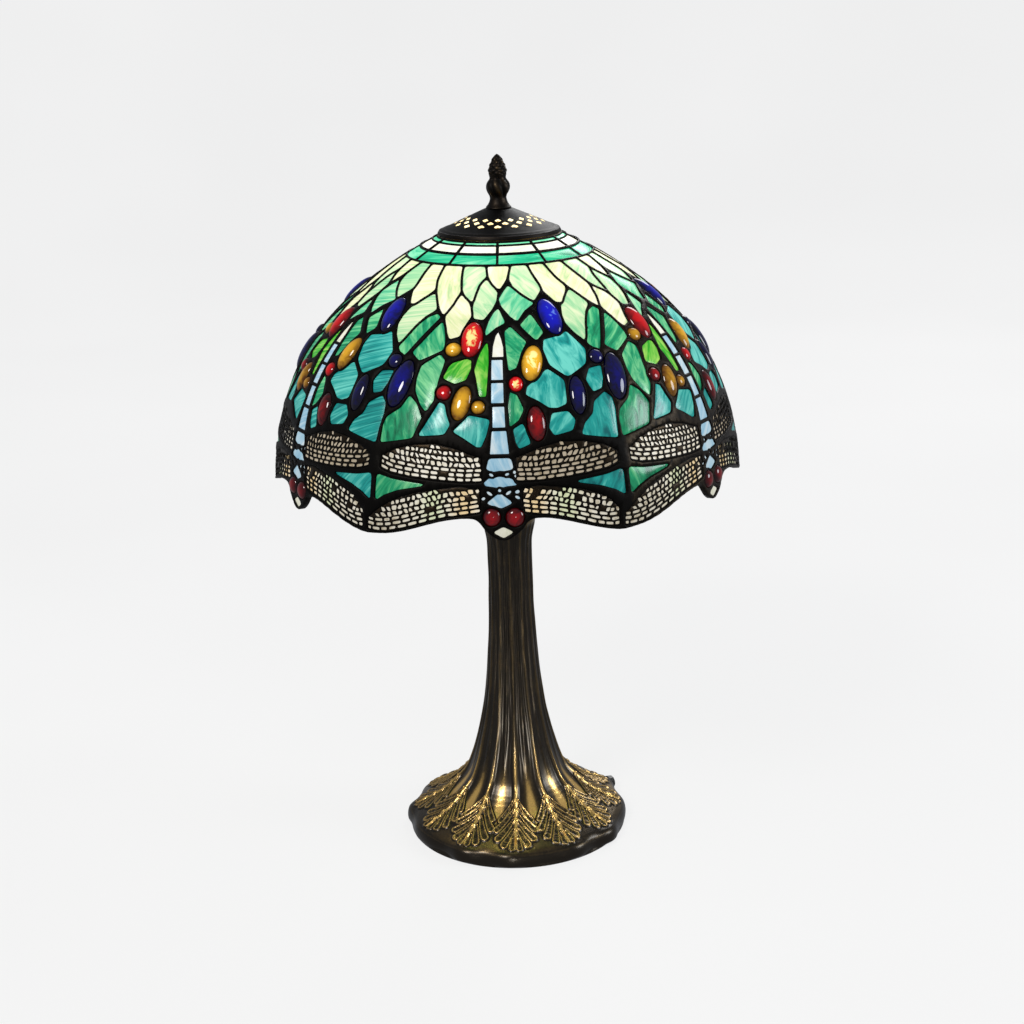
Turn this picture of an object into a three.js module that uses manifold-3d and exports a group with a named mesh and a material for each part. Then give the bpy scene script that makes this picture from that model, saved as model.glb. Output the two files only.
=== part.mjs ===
// Leaded-glass dragonfly table lamp, in millimetres, +Z up, front towards -Y.
// The origin is the centre of the face that the lamp rests on.
// Angles on the shade run from the front (-Y) towards +X; s is the distance down the shade's
// outer profile, measured from the edge of its top aperture.
import * as THREE from 'three'
import { mergeVertices } from 'three/addons/utils/BufferGeometryUtils.js'
import Module from 'manifold-3d'

const wasm = await Module()
wasm.setup()

// ---- driving dimensions -------------------------------------------------------------------
const GAP = 0.3 // clearance between touching pieces
const SECTORS = 6 // one dragonfly each

// shade: outer radius = SHADE_RADIUS * (1 - ((z - SHADE_FOOT_Z) / SHADE_SPAN) ** SHADE_POWER)
const SHADE_RADIUS = 152
const SHADE_FOOT_Z = 209
const SHADE_SPAN = 221.5
const SHADE_POWER = 3.5
const SHADE_TOP_Z = 413
const SHADE_END_Z = 244
const GLASS = 3 // glass thickness
const BODY_RISE = 1.5 // how far a dragonfly's body stands proud of the glass
const SKIRT_FLARE = 1.6 // the skirt's corners stand out and its flats fall back by this much
const FLARE_TOP_Z = 325
const FLARE_FULL_Z = 265

// bands and panels, as distances s down the profile
const APERTURE_S = 2
const BAND_JOINT_S = 14
const BAND_END_S = 24.6
const FIELD_START_S = 25
const FIELD_END_S = 155
const HALF_SECTOR = 29.87 // degrees, leaving a solder gap between neighbouring sectors

// heat cap and finial
const CAP_RADIUS = 39.5
const CAP_RIM_Z = 413.4
const CAP_TOP_Z = 428
const CAP_PIERCINGS = 16
const FINIAL_BASE_Z = 428.4
const LAMP_HEIGHT = 462

// base
const BASE_RADIUS = 76
const TRUNK_TOP_Z = 229
const RIBS = 12
const FELT_THICKNESS = 2
const PIPE_RADIUS = 4.9
const PIPE_BORE = 3.2
const PIPE_HOLE = 5.3
const GLAND_ANGLE = 122 // degrees from the front towards +X
const GLAND_Z = 6

// harp, socket and bulb
const SADDLE_Z = 232.3
const HARP_FOOT_X = 24
const HARP_TOP_Z = 406
const HARP_WIRE = 1.6
const STUD_RADIUS = 3
const STUD_HOLE = 3.4
const SOCKET_Z = 234.4
const SOCKET_RADIUS = 16.6
const SWITCH_Z = 256
const BULB_TIP_Z = 261.6
const BULB_TOP_Z = 370
const BULB_RADIUS = 30

const ROUND = 14 // sides on small round pieces
const WIDE = 24 // sides on wide plates and rings

// ---- materials ----------------------------------------------------------------------------
const paint = (color, roughness, metalness, opacity = 1) => new THREE.MeshStandardMaterial({
  color, roughness, metalness, opacity, transparent: opacity < 1,
})
const bronze = () => paint(0x2e241a, 0.5, 0.8)
const brass = () => paint(0xb08d4a, 0.35, 1)
const steel = () => paint(0x8c8c88, 0.4, 1)
const art_glass = (color) => paint(color, 0.15, 0, 0.9)

// ---- solids -------------------------------------------------------------------------------
// A closed BufferGeometry as a solid that can be joined and cut.
function solid(geometry) {
  const bare = geometry.clone()
  bare.deleteAttribute('normal')
  bare.deleteAttribute('uv')
  const merged = mergeVertices(bare, 1e-4)
  return new wasm.Manifold(new wasm.Mesh({
    numProp: 3,
    vertProperties: new Float32Array(merged.attributes.position.array),
    triVerts: new Uint32Array(merged.index.array),
  }))
}

function geometry(body) {
  const mesh = body.getMesh()
  const made = new THREE.BufferGeometry()
  made.setAttribute('position', new THREE.BufferAttribute(new Float32Array(mesh.vertProperties), 3))
  made.setIndex(new THREE.BufferAttribute(new Uint32Array(mesh.triVerts), 1))
  made.computeVertexNormals()
  return made
}

// A turned shape about Z; each profile point is [radius, z], from bottom to top on the outside.
function turned(profile, sides = ROUND) {
  const points = profile.map(([r, z]) => new THREE.Vector2(r, z))
  return new THREE.LatheGeometry(points, sides).rotateX(Math.PI / 2)
}

// A hollow turned shape: the outside from bottom to top, then back down the inside.
const ring = (inner, outer, low, high, sides = ROUND) =>
  turned([[inner, low], [outer, low], [outer, high], [inner, high], [inner, low]], sides)

const rod = (radius, low, high, sides = ROUND) =>
  turned([[0, low], [radius, low], [radius, high], [0, high]], sides)

// ---- the shade's surface ------------------------------------------------------------------
const shadeRadius = (z) =>
  SHADE_RADIUS * (1 - ((z - SHADE_FOOT_Z) / SHADE_SPAN) ** SHADE_POWER)

const PROFILE_STEP = 0.5
const profile = [{ s: 0, z: SHADE_TOP_Z, r: shadeRadius(SHADE_TOP_Z) }]
for (let z = SHADE_TOP_Z - PROFILE_STEP; z >= SHADE_END_Z; z -= PROFILE_STEP) {
  const last = profile.at(-1)
  const r = shadeRadius(z)
  profile.push({ s: last.s + Math.hypot(r - last.r, PROFILE_STEP), z, r })
}

// Radius, height and outward normal of the profile at distance s.
function profileAt(s) {
  const found = profile.findIndex((p) => p.s >= s)
  const next = Math.max(1, found < 0 ? profile.length - 1 : found)
  const a = profile[next - 1]
  const b = profile[next]
  const t = (s - a.s) / (b.s - a.s)
  const length = Math.hypot(b.r - a.r, b.z - a.z)
  return {
    r: a.r + t * (b.r - a.r),
    z: a.z + t * (b.z - a.z),
    nr: (a.z - b.z) / length,
    nz: (b.r - a.r) / length,
  }
}

// A point on the shade, depth below its outer surface.
function onShade(degrees, s, depth = 0) {
  const p = profileAt(s)
  const angle = THREE.MathUtils.degToRad(degrees)
  const flare = 1 - THREE.MathUtils.smoothstep(p.z, FLARE_FULL_Z, FLARE_TOP_Z)
  const r = p.r - depth * p.nr - SKIRT_FLARE * flare * Math.cos(SECTORS * angle)
  return new THREE.Vector3(r * Math.sin(angle), -r * Math.cos(angle), p.z - depth * p.nz)
}

const spread = (from, to, count) =>
  Array.from({ length: count + 1 }, (_, i) => from + (to - from) * i / count)

// A closed geometry from two matching sheets of points: front[i] lies over back[i].
function between(front, back, faces, edge) {
  const index = []
  const n = front.length
  for (const [a, b, c] of faces) {
    index.push(a, b, c, n + a, n + c, n + b)
  }
  edge.forEach((a, i) => {
    const b = edge[(i + 1) % edge.length]
    index.push(a, n + a, n + b, a, n + b, b)
  })
  const made = new THREE.BufferGeometry().setFromPoints([...front, ...back])
  made.setIndex(index)
  made.computeVertexNormals()
  return made
}

// A curved sheet of glass between two angles and two distances down the profile.
function sheet(angles, distances, rise = 0) {
  const columns = angles.length
  const grid = (depth) => distances.flatMap((s) => angles.map((a) => onShade(a, s, depth)))
  const faces = []
  for (let row = 0; row + 1 < distances.length; row++) {
    for (let column = 0; column + 1 < columns; column++) {
      const a = row * columns + column
      faces.push([a, a + columns, a + 1], [a + 1, a + columns, a + columns + 1])
    }
  }
  const last = (distances.length - 1) * columns
  const edge = [
    ...angles.map((_, i) => last + i),
    ...distances.slice(1, -1).map((_, i) => last - i * columns - 1),
    ...angles.map((_, i) => columns - 1 - i),
    ...distances.slice(1, -1).map((_, i) => (i + 1) * columns),
  ]
  return between(grid(-rise), grid(GLASS), faces, edge)
}

// An outline on the shade, [degrees, s] points, drawn outwards from the shade's middle so that
// it cuts the glass square to its surface.
const CUTTER_CENTRE = new THREE.Vector3(0, 0, 250)
function cutter(outline) {
  const flat = outline.map(([a, s]) => new THREE.Vector2(a, -s))
  const order = outline.map((_, i) => i)
  if (THREE.ShapeUtils.area(flat) < 0) {
    flat.reverse()
    order.reverse()
  }
  const scaled = (scale) => order.map((i) =>
    onShade(...outline[i]).sub(CUTTER_CENTRE).multiplyScalar(scale).add(CUTTER_CENTRE))
  const faces = THREE.ShapeUtils.triangulateShape(flat, [])
  return solid(between(scaled(1.4), scaled(0.6), faces, order.map((_, i) => i)))
}

// The outline moved outwards by a distance in mm.
function grown(outline, distance) {
  const perDegree = THREE.MathUtils.degToRad(1) * SHADE_RADIUS
  const flat = outline.map(([a, s]) => new THREE.Vector2(a * perDegree, -s))
  const turn = Math.sign(THREE.ShapeUtils.area(flat))
  return flat.map((point, i) => {
    const before = flat[(i + flat.length - 1) % flat.length]
    const after = flat[(i + 1) % flat.length]
    const a = point.clone().sub(before).normalize()
    const b = after.clone().sub(point).normalize()
    const mitre = new THREE.Vector2(a.y + b.y, -a.x - b.x).normalize()
    const stretch = Math.max(0.5, mitre.dot(new THREE.Vector2(a.y, -a.x)))
    const moved = point.addScaledVector(mitre, turn * distance / stretch)
    return [moved.x / perDegree, -moved.y]
  })
}

const mirrored = (outline) => outline.map(([a, s]) => [-a, s]).reverse()
const both = (half) => [...half, ...mirrored(half)]

// half of a dragonfly's body, tail to beak
const bodyOutline = both([
  [0.4, 96.5], [1.6, 100], [1.8, 142], [2.8, 156], [3.6, 165], [4.5, 172], [3.7, 177],
  [4.1, 184], [5.7, 188.5], [5.6, 195.5], [3.5, 200.5], [0.6, 205],
])

// the two right-hand wings, joined at the body
const wingOutline = [
  [1, 155], [7, 151.5], [12, 146.6], [15.5, 145.2], [20, 147], [25, 150.6], [HALF_SECTOR, 155.5],
  [HALF_SECTOR, 204], [25, 202.4], [20, 198.8], [15, 195.2], [10, 192.6], [6, 192], [1, 190],
]

// the green glass between four wing tips, centred on a corner of the skirt
const cornerOutline = [
  [-14, 172.9], [-9, 171.4], [-4, 169.2], [0, 166.4], [4, 169.2], [9, 171.4], [14, 172.9],
  [10, 174.8], [5, 178.8], [0, 185.4], [-5, 178.8], [-10, 174.8],
]

const shifted = (outline, degrees) => outline.map(([a, s]) => [a + degrees, s])
const CUT = GAP + 0.05

function fieldGlass() {
  const panel = solid(sheet(spread(-HALF_SECTOR, HALF_SECTOR, 6),
    [FIELD_START_S, 50, 76, 102, 128, FIELD_END_S]))
  const wings = cutter(grown(wingOutline, CUT)).add(cutter(grown(mirrored(wingOutline), CUT)))
  return geometry(panel.subtract(wings).subtract(cutter(grown(bodyOutline, CUT))))
}

function dragonflyBody() {
  const strip = solid(sheet(spread(-8, 8, 2), [95, 122, 152, 180, 206], BODY_RISE))
  return geometry(strip.intersect(cutter(bodyOutline)))
}

function wings(side) {
  const panel = solid(sheet(spread(0.2, HALF_SECTOR, 3), [143, 164, 185, 206]))
  const cut = panel.intersect(cutter(wingOutline))
    .subtract(cutter(grown(bodyOutline, CUT)))
    .subtract(cutter(grown(shifted(cornerOutline, 30), CUT)))
  return geometry(side < 0 ? cut.mirror([1, 0, 0]) : cut)
}

function cornerGlass() {
  const panel = solid(sheet(spread(14, 46, 4), [164, 188]))
  return geometry(panel.intersect(cutter(shifted(cornerOutline, 30)))
    .rotate([0, 0, -30]))
}

function band(from, to) {
  const rows = [from, to].map((s) => profileAt(s))
  const outside = rows.map((p) => [p.r, p.z]).reverse()
  const inside = rows.map((p) => [p.r - GLASS * p.nr, p.z - GLASS * p.nz])
  return turned([...outside, ...inside, outside[0]], 1.5 * WIDE)
}

// ---- heat cap and finial ------------------------------------------------------------------
const capOutside = [
  [CAP_RADIUS, CAP_RIM_Z], [38.6, 415], [32.5, 417.6], [23, 421.8], [14.5, 425.7], [9, CAP_TOP_Z],
]
const CAP_WALL = 1.5

function heatCap() {
  const inside = capOutside.map(([r, z]) => [r - CAP_WALL, z - CAP_WALL]).slice(1).reverse()
  const shell = turned([
    ...capOutside, [STUD_HOLE, CAP_TOP_Z], [STUD_HOLE, CAP_TOP_Z - CAP_WALL], ...inside,
    [CAP_RADIUS - CAP_WALL, CAP_RIM_Z], capOutside[0],
  ], CAP_PIERCINGS)
  const diamond = new THREE.Shape([[18.8, 0], [24, -1.7], [29.4, 0], [24, 1.7]]
    .map(([x, y]) => new THREE.Vector2(x, y)))
  const piercing = solid(new THREE.ExtrudeGeometry(diamond, { depth: 16, bevelEnabled: false })
    .translate(0, 0, 410))
  let cap = solid(shell)
  for (let i = 0; i < CAP_PIERCINGS; i++) {
    cap = cap.subtract(piercing.rotate([0, 0, (i + 0.5) * 360 / CAP_PIERCINGS]))
  }
  return geometry(cap)
}

function finial() {
  const boreTop = 447.5
  return turned([
    [0, boreTop], [STUD_HOLE, boreTop], [STUD_HOLE, FINIAL_BASE_Z], [8.2, FINIAL_BASE_Z],
    [7.2, 430], [5.5, 433.2], [5.5, 436.4], [7.5, 441.8], [6.3, 445.2], [5.2, 447.4], [5.8, 451],
    [4.9, 455], [2.6, 460], [0, LAMP_HEIGHT],
  ])
}

// ---- spider and aperture ring -------------------------------------------------------------
const RING_INNER = 34.5
const RING_OUTER = 37.5

function spider() {
  const reach = RING_INNER - 1
  const low = 410.4
  const high = 412.4
  let body = solid(rod(9, low, high))
  for (let i = 0; i < 3; i++) {
    const arm = new THREE.BoxGeometry(reach, 5, high - low)
      .translate(reach / 2, 0, (high + low) / 2)
    body = body.add(solid(arm).rotate([0, 0, 90 + 120 * i]))
  }
  return geometry(body.subtract(solid(rod(STUD_HOLE, low - 1, high + 1))))
}

// ---- base ---------------------------------------------------------------------------------
const BASE_LOW_Z = 0.5
const baseOutside = [
  [0, BASE_LOW_Z], [BASE_RADIUS - 1, BASE_LOW_Z], [BASE_RADIUS, 4], [75, 9], [72, 11.5],
  [60, 17], [47, 25], [36.4, 36], [30.2, 50], [25.2, 67], [20.2, 90], [17, 120], [15.4, 150],
  [14.8, 180], [14.9, 205], [17.5, 219], [18.5, 226], [17, TRUNK_TOP_Z], [0, TRUNK_TOP_Z],
]
const PLATE_Z = 8.3
const PLATE_RADIUS = 66
const PLATE_THICKNESS = 1.5
const baseInside = [
  [0, -1], [72.4, -1], [72.4, FELT_THICKNESS + GAP], [67, FELT_THICKNESS + GAP],
  [67, PLATE_Z + PLATE_THICKNESS + GAP], [61, PLATE_Z + PLATE_THICKNESS + GAP], [44, 22],
  [26.6, 48], [16.9, 90], [11.5, 150], [11, 222], [0, 222],
]

// Twelve ribs run up the trunk and out over the foot; they fade at the rim and at the top.
function ribbed(shape) {
  const position = shape.attributes.position
  for (let i = 0; i < position.count; i++) {
    const x = position.getX(i)
    const y = position.getY(i)
    const z = position.getZ(i)
    const depth = 0.035 * THREE.MathUtils.smoothstep(z, 9, 30)
    const scale = 1 + depth * Math.cos(RIBS * Math.atan2(x, -y))
    position.setXY(i, x * scale, y * scale)
  }
  return shape
}

function baseCasting() {
  const gland = new THREE.CylinderGeometry(3.6, 3.6, 14, 12)
    .rotateZ(Math.PI / 2).translate(BASE_RADIUS - 3, 0, GLAND_Z)
  return geometry(solid(ribbed(turned(baseOutside, 3 * RIBS)))
    .subtract(solid(turned(baseInside, WIDE)))
    .subtract(solid(rod(PIPE_HOLE, 0, TRUNK_TOP_Z + 1, 12)))
    .subtract(solid(gland).rotate([0, 0, GLAND_ANGLE - 90])))
}

// A strain-relief bushing lying along +X, turned to the gland's place by its mesh.
function cordBushing() {
  const bore = 2.2
  const inner = PLATE_RADIUS + 0.8
  const shape = new THREE.LatheGeometry([
    [bore, inner], [3.3, inner], [3.3, BASE_RADIUS + GAP], [4.8, BASE_RADIUS + GAP],
    [4.2, BASE_RADIUS + 4], [bore, BASE_RADIUS + 4], [bore, inner],
  ].map(([r, x]) => new THREE.Vector2(r, x)), 12)
  return shape.rotateZ(-Math.PI / 2).translate(0, 0, GLAND_Z)
}

function hexNut() {
  const shape = new THREE.Shape(spread(0, 300, 5).map((a) => {
    const angle = THREE.MathUtils.degToRad(a)
    return new THREE.Vector2(8.5 * Math.cos(angle), 8.5 * Math.sin(angle))
  }))
  const nut = new THREE.ExtrudeGeometry(shape, { depth: 4, bevelEnabled: false })
    .translate(0, 0, PLATE_Z - GAP - 4)
  return geometry(solid(nut).subtract(solid(rod(PIPE_HOLE, 0, 12, 12))))
}

// ---- harp and saddle ----------------------------------------------------------------------
const POST_TOP_Z = 246.4
const FERRULE_LOW_Z = 238
const FERRULE_LENGTH = 15

function harpSaddle() {
  const half = HARP_FOOT_X + 0.85
  const thick = 1.7
  const shape = new THREE.Shape([
    [-half, SADDLE_Z], [half, SADDLE_Z], [half, POST_TOP_Z], [half - thick, POST_TOP_Z],
    [half - thick, SADDLE_Z + thick], [thick - half, SADDLE_Z + thick],
    [thick - half, POST_TOP_Z], [-half, POST_TOP_Z],
  ].map(([x, z]) => new THREE.Vector2(x, z)))
  const strap = new THREE.ExtrudeGeometry(shape, { depth: 5, bevelEnabled: false })
    .translate(0, 0, -2.5).rotateX(Math.PI / 2)
  const eye = rod(9, SADDLE_Z, SADDLE_Z + thick)
  return geometry(solid(strap).add(solid(eye))
    .subtract(solid(rod(PIPE_HOLE, SADDLE_Z - 1, SADDLE_Z + 3, 12))))
}

const harpHalf = [
  [HARP_FOOT_X, POST_TOP_Z + GAP], [HARP_FOOT_X, 258], [HARP_FOOT_X, 270], [36, 286],
  [51, 308], [57, 334], [54, 362], [42, 387], [22, 402],
]
const BOSS_RADIUS = 8
const BOSS_LOW_Z = HARP_TOP_Z - 2.5
const BOSS_HIGH_Z = HARP_TOP_Z + 2

function harp() {
  const points = [...harpHalf, [0, HARP_TOP_Z], ...mirrored(harpHalf)]
  const path = new THREE.CatmullRomCurve3(points.map(([x, z]) => new THREE.Vector3(x, 0, z)))
  const section = new THREE.Shape(spread(0, 288, 4).map((a) => {
    const angle = THREE.MathUtils.degToRad(a)
    return new THREE.Vector2(HARP_WIRE * Math.cos(angle), HARP_WIRE * Math.sin(angle))
  }))
  const wire = new THREE.ExtrudeGeometry(section, { steps: 34, extrudePath: path })
  return geometry(solid(wire).add(solid(rod(BOSS_RADIUS, BOSS_LOW_Z, BOSS_HIGH_Z)))
    .subtract(solid(rod(STUD_HOLE, BOSS_LOW_Z - 1, BOSS_HIGH_Z + 1, 12))))
}

// The stud turns in the harp's boss: a head below it, a seat above it, then the thread.
function harpStud() {
  return turned([
    [0, BOSS_LOW_Z - 3], [5, BOSS_LOW_Z - 3], [5, BOSS_LOW_Z - GAP], [STUD_RADIUS, BOSS_LOW_Z - GAP],
    [STUD_RADIUS, BOSS_HIGH_Z + GAP], [7, BOSS_HIGH_Z + GAP], [7, 410],
    [STUD_RADIUS, 410], [STUD_RADIUS, 446], [0, 446],
  ], 12)
}

// ---- socket and bulb ----------------------------------------------------------------------
function socketCap() {
  const top = 251
  return turned([
    [PIPE_HOLE, SOCKET_Z], [8, SOCKET_Z], [9.5, 238.5], [17.8, 244], [17.8, top],
    [17, top], [17, 244.8], [9, 239.5], [PIPE_HOLE, 239.5], [PIPE_HOLE, SOCKET_Z],
  ])
}

// A tube with a hole in its front for the switch spindle.
function pierced(tube) {
  const hole = new THREE.CylinderGeometry(2.6, 2.6, 20, 12).translate(0, -20, SWITCH_Z)
  return geometry(solid(tube).subtract(solid(hole)))
}

const switchShape = (points) => new THREE.LatheGeometry(
  points.map(([r, y]) => new THREE.Vector2(r, y)), ROUND,
).rotateX(Math.PI).translate(0, 0, SWITCH_Z)

function bulbGlass() {
  const centre = BULB_TOP_Z - BULB_RADIUS
  const neck = 286.4
  const arc = (radius) => spread(90, -35, 5).map((a) => {
    const angle = THREE.MathUtils.degToRad(a)
    return [radius * Math.cos(angle), centre + radius * Math.sin(angle)]
  })
  const outside = [...arc(BULB_RADIUS), [16, 303], [12.6, neck]]
  const inside = [...arc(BULB_RADIUS - 1), [15, 303], [11.6, neck]]
  outside[0][0] = 0
  inside[0][0] = 0
  return turned([...inside, ...outside.reverse()])
}

function bulbBase() {
  return turned([
    [0, BULB_TIP_Z], [4, BULB_TIP_Z], [6, 264], [12, 266.5], [13, 268], [13, 286], [0, 286],
  ])
}

// ---- assembly -----------------------------------------------------------------------------
const lamp = new THREE.Group()

function place(name, shape, material, parent = lamp) {
  const mesh = new THREE.Mesh(shape, material)
  mesh.name = name
  parent.add(mesh)
  return mesh
}

place('felt_pad', rod(71.4, 0, FELT_THICKNESS, WIDE), paint(0x23331f, 1, 0))
place('bottom_plate', ring(PIPE_HOLE, PLATE_RADIUS, PLATE_Z, PLATE_Z + PLATE_THICKNESS, WIDE), steel())
place('base_casting', baseCasting(), bronze())
place('cord_bushing', cordBushing(), paint(0x141210, 0.5, 0)).rotation.z =
  THREE.MathUtils.degToRad(GLAND_ANGLE - 90)
place('pipe_nut', hexNut(), steel())
place('lamp_pipe', ring(PIPE_BORE, PIPE_RADIUS, 3, 241, 12), steel())
place('neck_cap', ring(PIPE_HOLE, 16, TRUNK_TOP_Z + GAP, SADDLE_Z - GAP), bronze())
place('harp_saddle', harpSaddle(), brass())
place('harp', harp(), brass())
place('harp_stud', harpStud(), brass())
for (const [side, x] of [['left', -HARP_FOOT_X], ['right', HARP_FOOT_X]]) {
  place(`harp_ferrule_${side}`, ring(3.3, 4.4, 0, FERRULE_LENGTH, 12), brass())
    .position.set(x, 0, FERRULE_LOW_Z)
}
place('socket_cap', socketCap(), brass())
place('socket_shell', pierced(ring(16, SOCKET_RADIUS, 247, 284)), brass())
place('socket_liner', pierced(ring(15, 15.7, 248, 283)), paint(0x6d5a3c, 0.9, 0))
place('socket_block', rod(14.6, 250, 259), paint(0xd8d2c4, 0.4, 0))
place('screw_shell', ring(13.6, 14.2, 259.4, 281), paint(0xb7b7b2, 0.3, 1))
place('switch_spindle', switchShape([[0, 15.2], [2, 15.2], [2, 30], [0, 30]]), brass())
place('switch_knob', switchShape([
  [0, 30.4], [2.4, 30.4], [2.4, 24], [4.6, 24], [5.4, 27], [5.4, 36], [4.4, 37.5], [0, 37.5],
]), paint(0x17130f, 0.35, 0))
place('bulb_base', bulbBase(), paint(0xb7b7b2, 0.3, 1))
place('bulb_glass', bulbGlass(), paint(0xfff4d8, 0.3, 0, 0.8))

const shade = new THREE.Group()
lamp.add(shade)
place('aperture_ring', ring(RING_INNER, RING_OUTER, 409.4, 413, WIDE), brass(), shade)
place('spider', spider(), brass(), shade)
place('cap_riser', ring(STUD_HOLE, 5.5, 412.7, CAP_TOP_Z - CAP_WALL - GAP, 12), brass(), shade)
place('heat_cap', heatCap(), bronze(), shade)
place('top_band_upper', band(APERTURE_S, BAND_JOINT_S - GAP), art_glass(0xf2f3dd), shade)
place('top_band_lower', band(BAND_JOINT_S, BAND_END_S), art_glass(0x7fdc96), shade)

const sectorPieces = [
  ['field_glass', fieldGlass(), 0x46bf8a],
  ['dragonfly_body', dragonflyBody(), 0xbfe2ef],
  ['wings_left', wings(-1), 0xd8cfae],
  ['wings_right', wings(1), 0xd8cfae],
  ['corner_glass', cornerGlass(), 0x3fae7a],
]
for (let k = 0; k < SECTORS; k++) {
  const sector = new THREE.Group()
  sector.rotation.z = THREE.MathUtils.degToRad(k * 360 / SECTORS)
  shade.add(sector)
  for (const [name, shape, color] of sectorPieces) {
    place(`${name}_${k + 1}`, shape, art_glass(color), sector)
  }
  sector.children.at(-1).rotation.z = THREE.MathUtils.degToRad(30)
}

place('finial', finial(), bronze())

export default lamp
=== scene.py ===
"""The looks of the leaded-glass dragonfly lamp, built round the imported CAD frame, in metres."""

import math
import random

import bpy
import numpy as np
from mathutils import Matrix, Vector
from mathutils.geometry import delaunay_2d_cdt
from mathutils.kdtree import KDTree


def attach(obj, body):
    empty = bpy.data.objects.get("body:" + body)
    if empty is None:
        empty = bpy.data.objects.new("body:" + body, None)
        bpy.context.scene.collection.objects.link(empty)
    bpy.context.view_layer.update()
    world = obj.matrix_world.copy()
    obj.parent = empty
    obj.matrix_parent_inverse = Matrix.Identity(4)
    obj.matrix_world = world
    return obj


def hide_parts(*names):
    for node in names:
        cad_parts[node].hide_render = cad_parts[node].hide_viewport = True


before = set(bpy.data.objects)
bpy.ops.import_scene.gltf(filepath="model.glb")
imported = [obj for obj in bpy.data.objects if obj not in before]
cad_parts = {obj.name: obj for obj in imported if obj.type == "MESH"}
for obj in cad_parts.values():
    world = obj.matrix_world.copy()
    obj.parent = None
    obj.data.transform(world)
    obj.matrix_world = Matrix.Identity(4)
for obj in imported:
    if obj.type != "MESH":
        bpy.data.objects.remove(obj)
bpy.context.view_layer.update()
MM = 0.001
SECTORS = 6
SECTOR = math.tau / SECTORS

# ---------------------------------------------------------------------------------------------
# The shade's surface. Angles run from the front (-Y) towards +X; s is the distance in mm down
# the outer profile from the top aperture; depth is measured inwards, square to the surface.

SHADE_RADIUS, SHADE_FOOT_Z, SHADE_SPAN, SHADE_POWER = 152.0, 209.0, 221.5, 3.5
SHADE_TOP_Z, SHADE_LOW_Z = 413.0, 238.0
GLASS = 3.0
SKIRT_FLARE, FLARE_TOP_Z, FLARE_FULL_Z = 1.6, 325.0, 265.0
BULB_CENTRE = np.array([0.0, 0.0, 340.0])
LIGHT, FULL_LIGHT = 1.14, 92.0

_z = np.arange(SHADE_TOP_Z, SHADE_LOW_Z, -0.25)
_r = SHADE_RADIUS * (1 - ((_z - SHADE_FOOT_Z) / SHADE_SPAN) ** SHADE_POWER)
_step = np.hypot(np.diff(_r), np.diff(_z))
_s = np.concatenate([[0], np.cumsum(_step)])
_y = np.concatenate([[0], np.cumsum(_step / ((_r[1:] + _r[:-1]) / 2))])
_slope_r, _slope_z = np.gradient(_r, _s), np.gradient(_z, _s)


def plan(outline):
    """Outline points [degrees, s] as points of the plan, where shapes keep their angles and
    one unit is the local radius."""
    o = np.array(outline, float)
    return np.column_stack([np.radians(o[:, 0]), np.interp(o[:, 1], _s, _y)])


def radius_at(y):
    """The shade's radius in mm at plan height y, which is also the plan's scale there."""
    return np.interp(y, _y, _r)


def on_shade(points, depth):
    """Plan points at a depth in mm, as points of the lamp's frame in metres."""
    angle, y = points[:, 0], points[:, 1]
    r, z = np.interp(y, _y, _r), np.interp(y, _y, _z)
    nr, nz = -np.interp(y, _y, _slope_z), np.interp(y, _y, _slope_r)
    t = np.clip((z - FLARE_FULL_Z) / (FLARE_TOP_Z - FLARE_FULL_Z), 0, 1)
    flare = 1 - t * t * (3 - 2 * t)
    r = r - depth * nr - SKIRT_FLARE * flare * np.cos(SECTORS * angle)
    z = z - depth * nz
    return np.column_stack([r * np.sin(angle), -r * np.cos(angle), z]) * MM


def turned_by(points, k):
    """Plan points moved k sectors round."""
    return points + np.array([k * SECTOR, 0])


# ---------------------------------------------------------------------------------------------
# Materials

GLASS_GLOW = 0.9
GLASS_BODY = 0.16  # how light a lit pane's own surface is, against its lit colour
FINE_BUMP = 0.0004


def linear(colour):
    """An sRGB colour in 0..255 as linear light."""
    c = np.array(colour, float) / 255
    return tuple(np.where(c <= 0.04045, c / 12.92, ((c + 0.055) / 1.055) ** 2.4))


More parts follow.
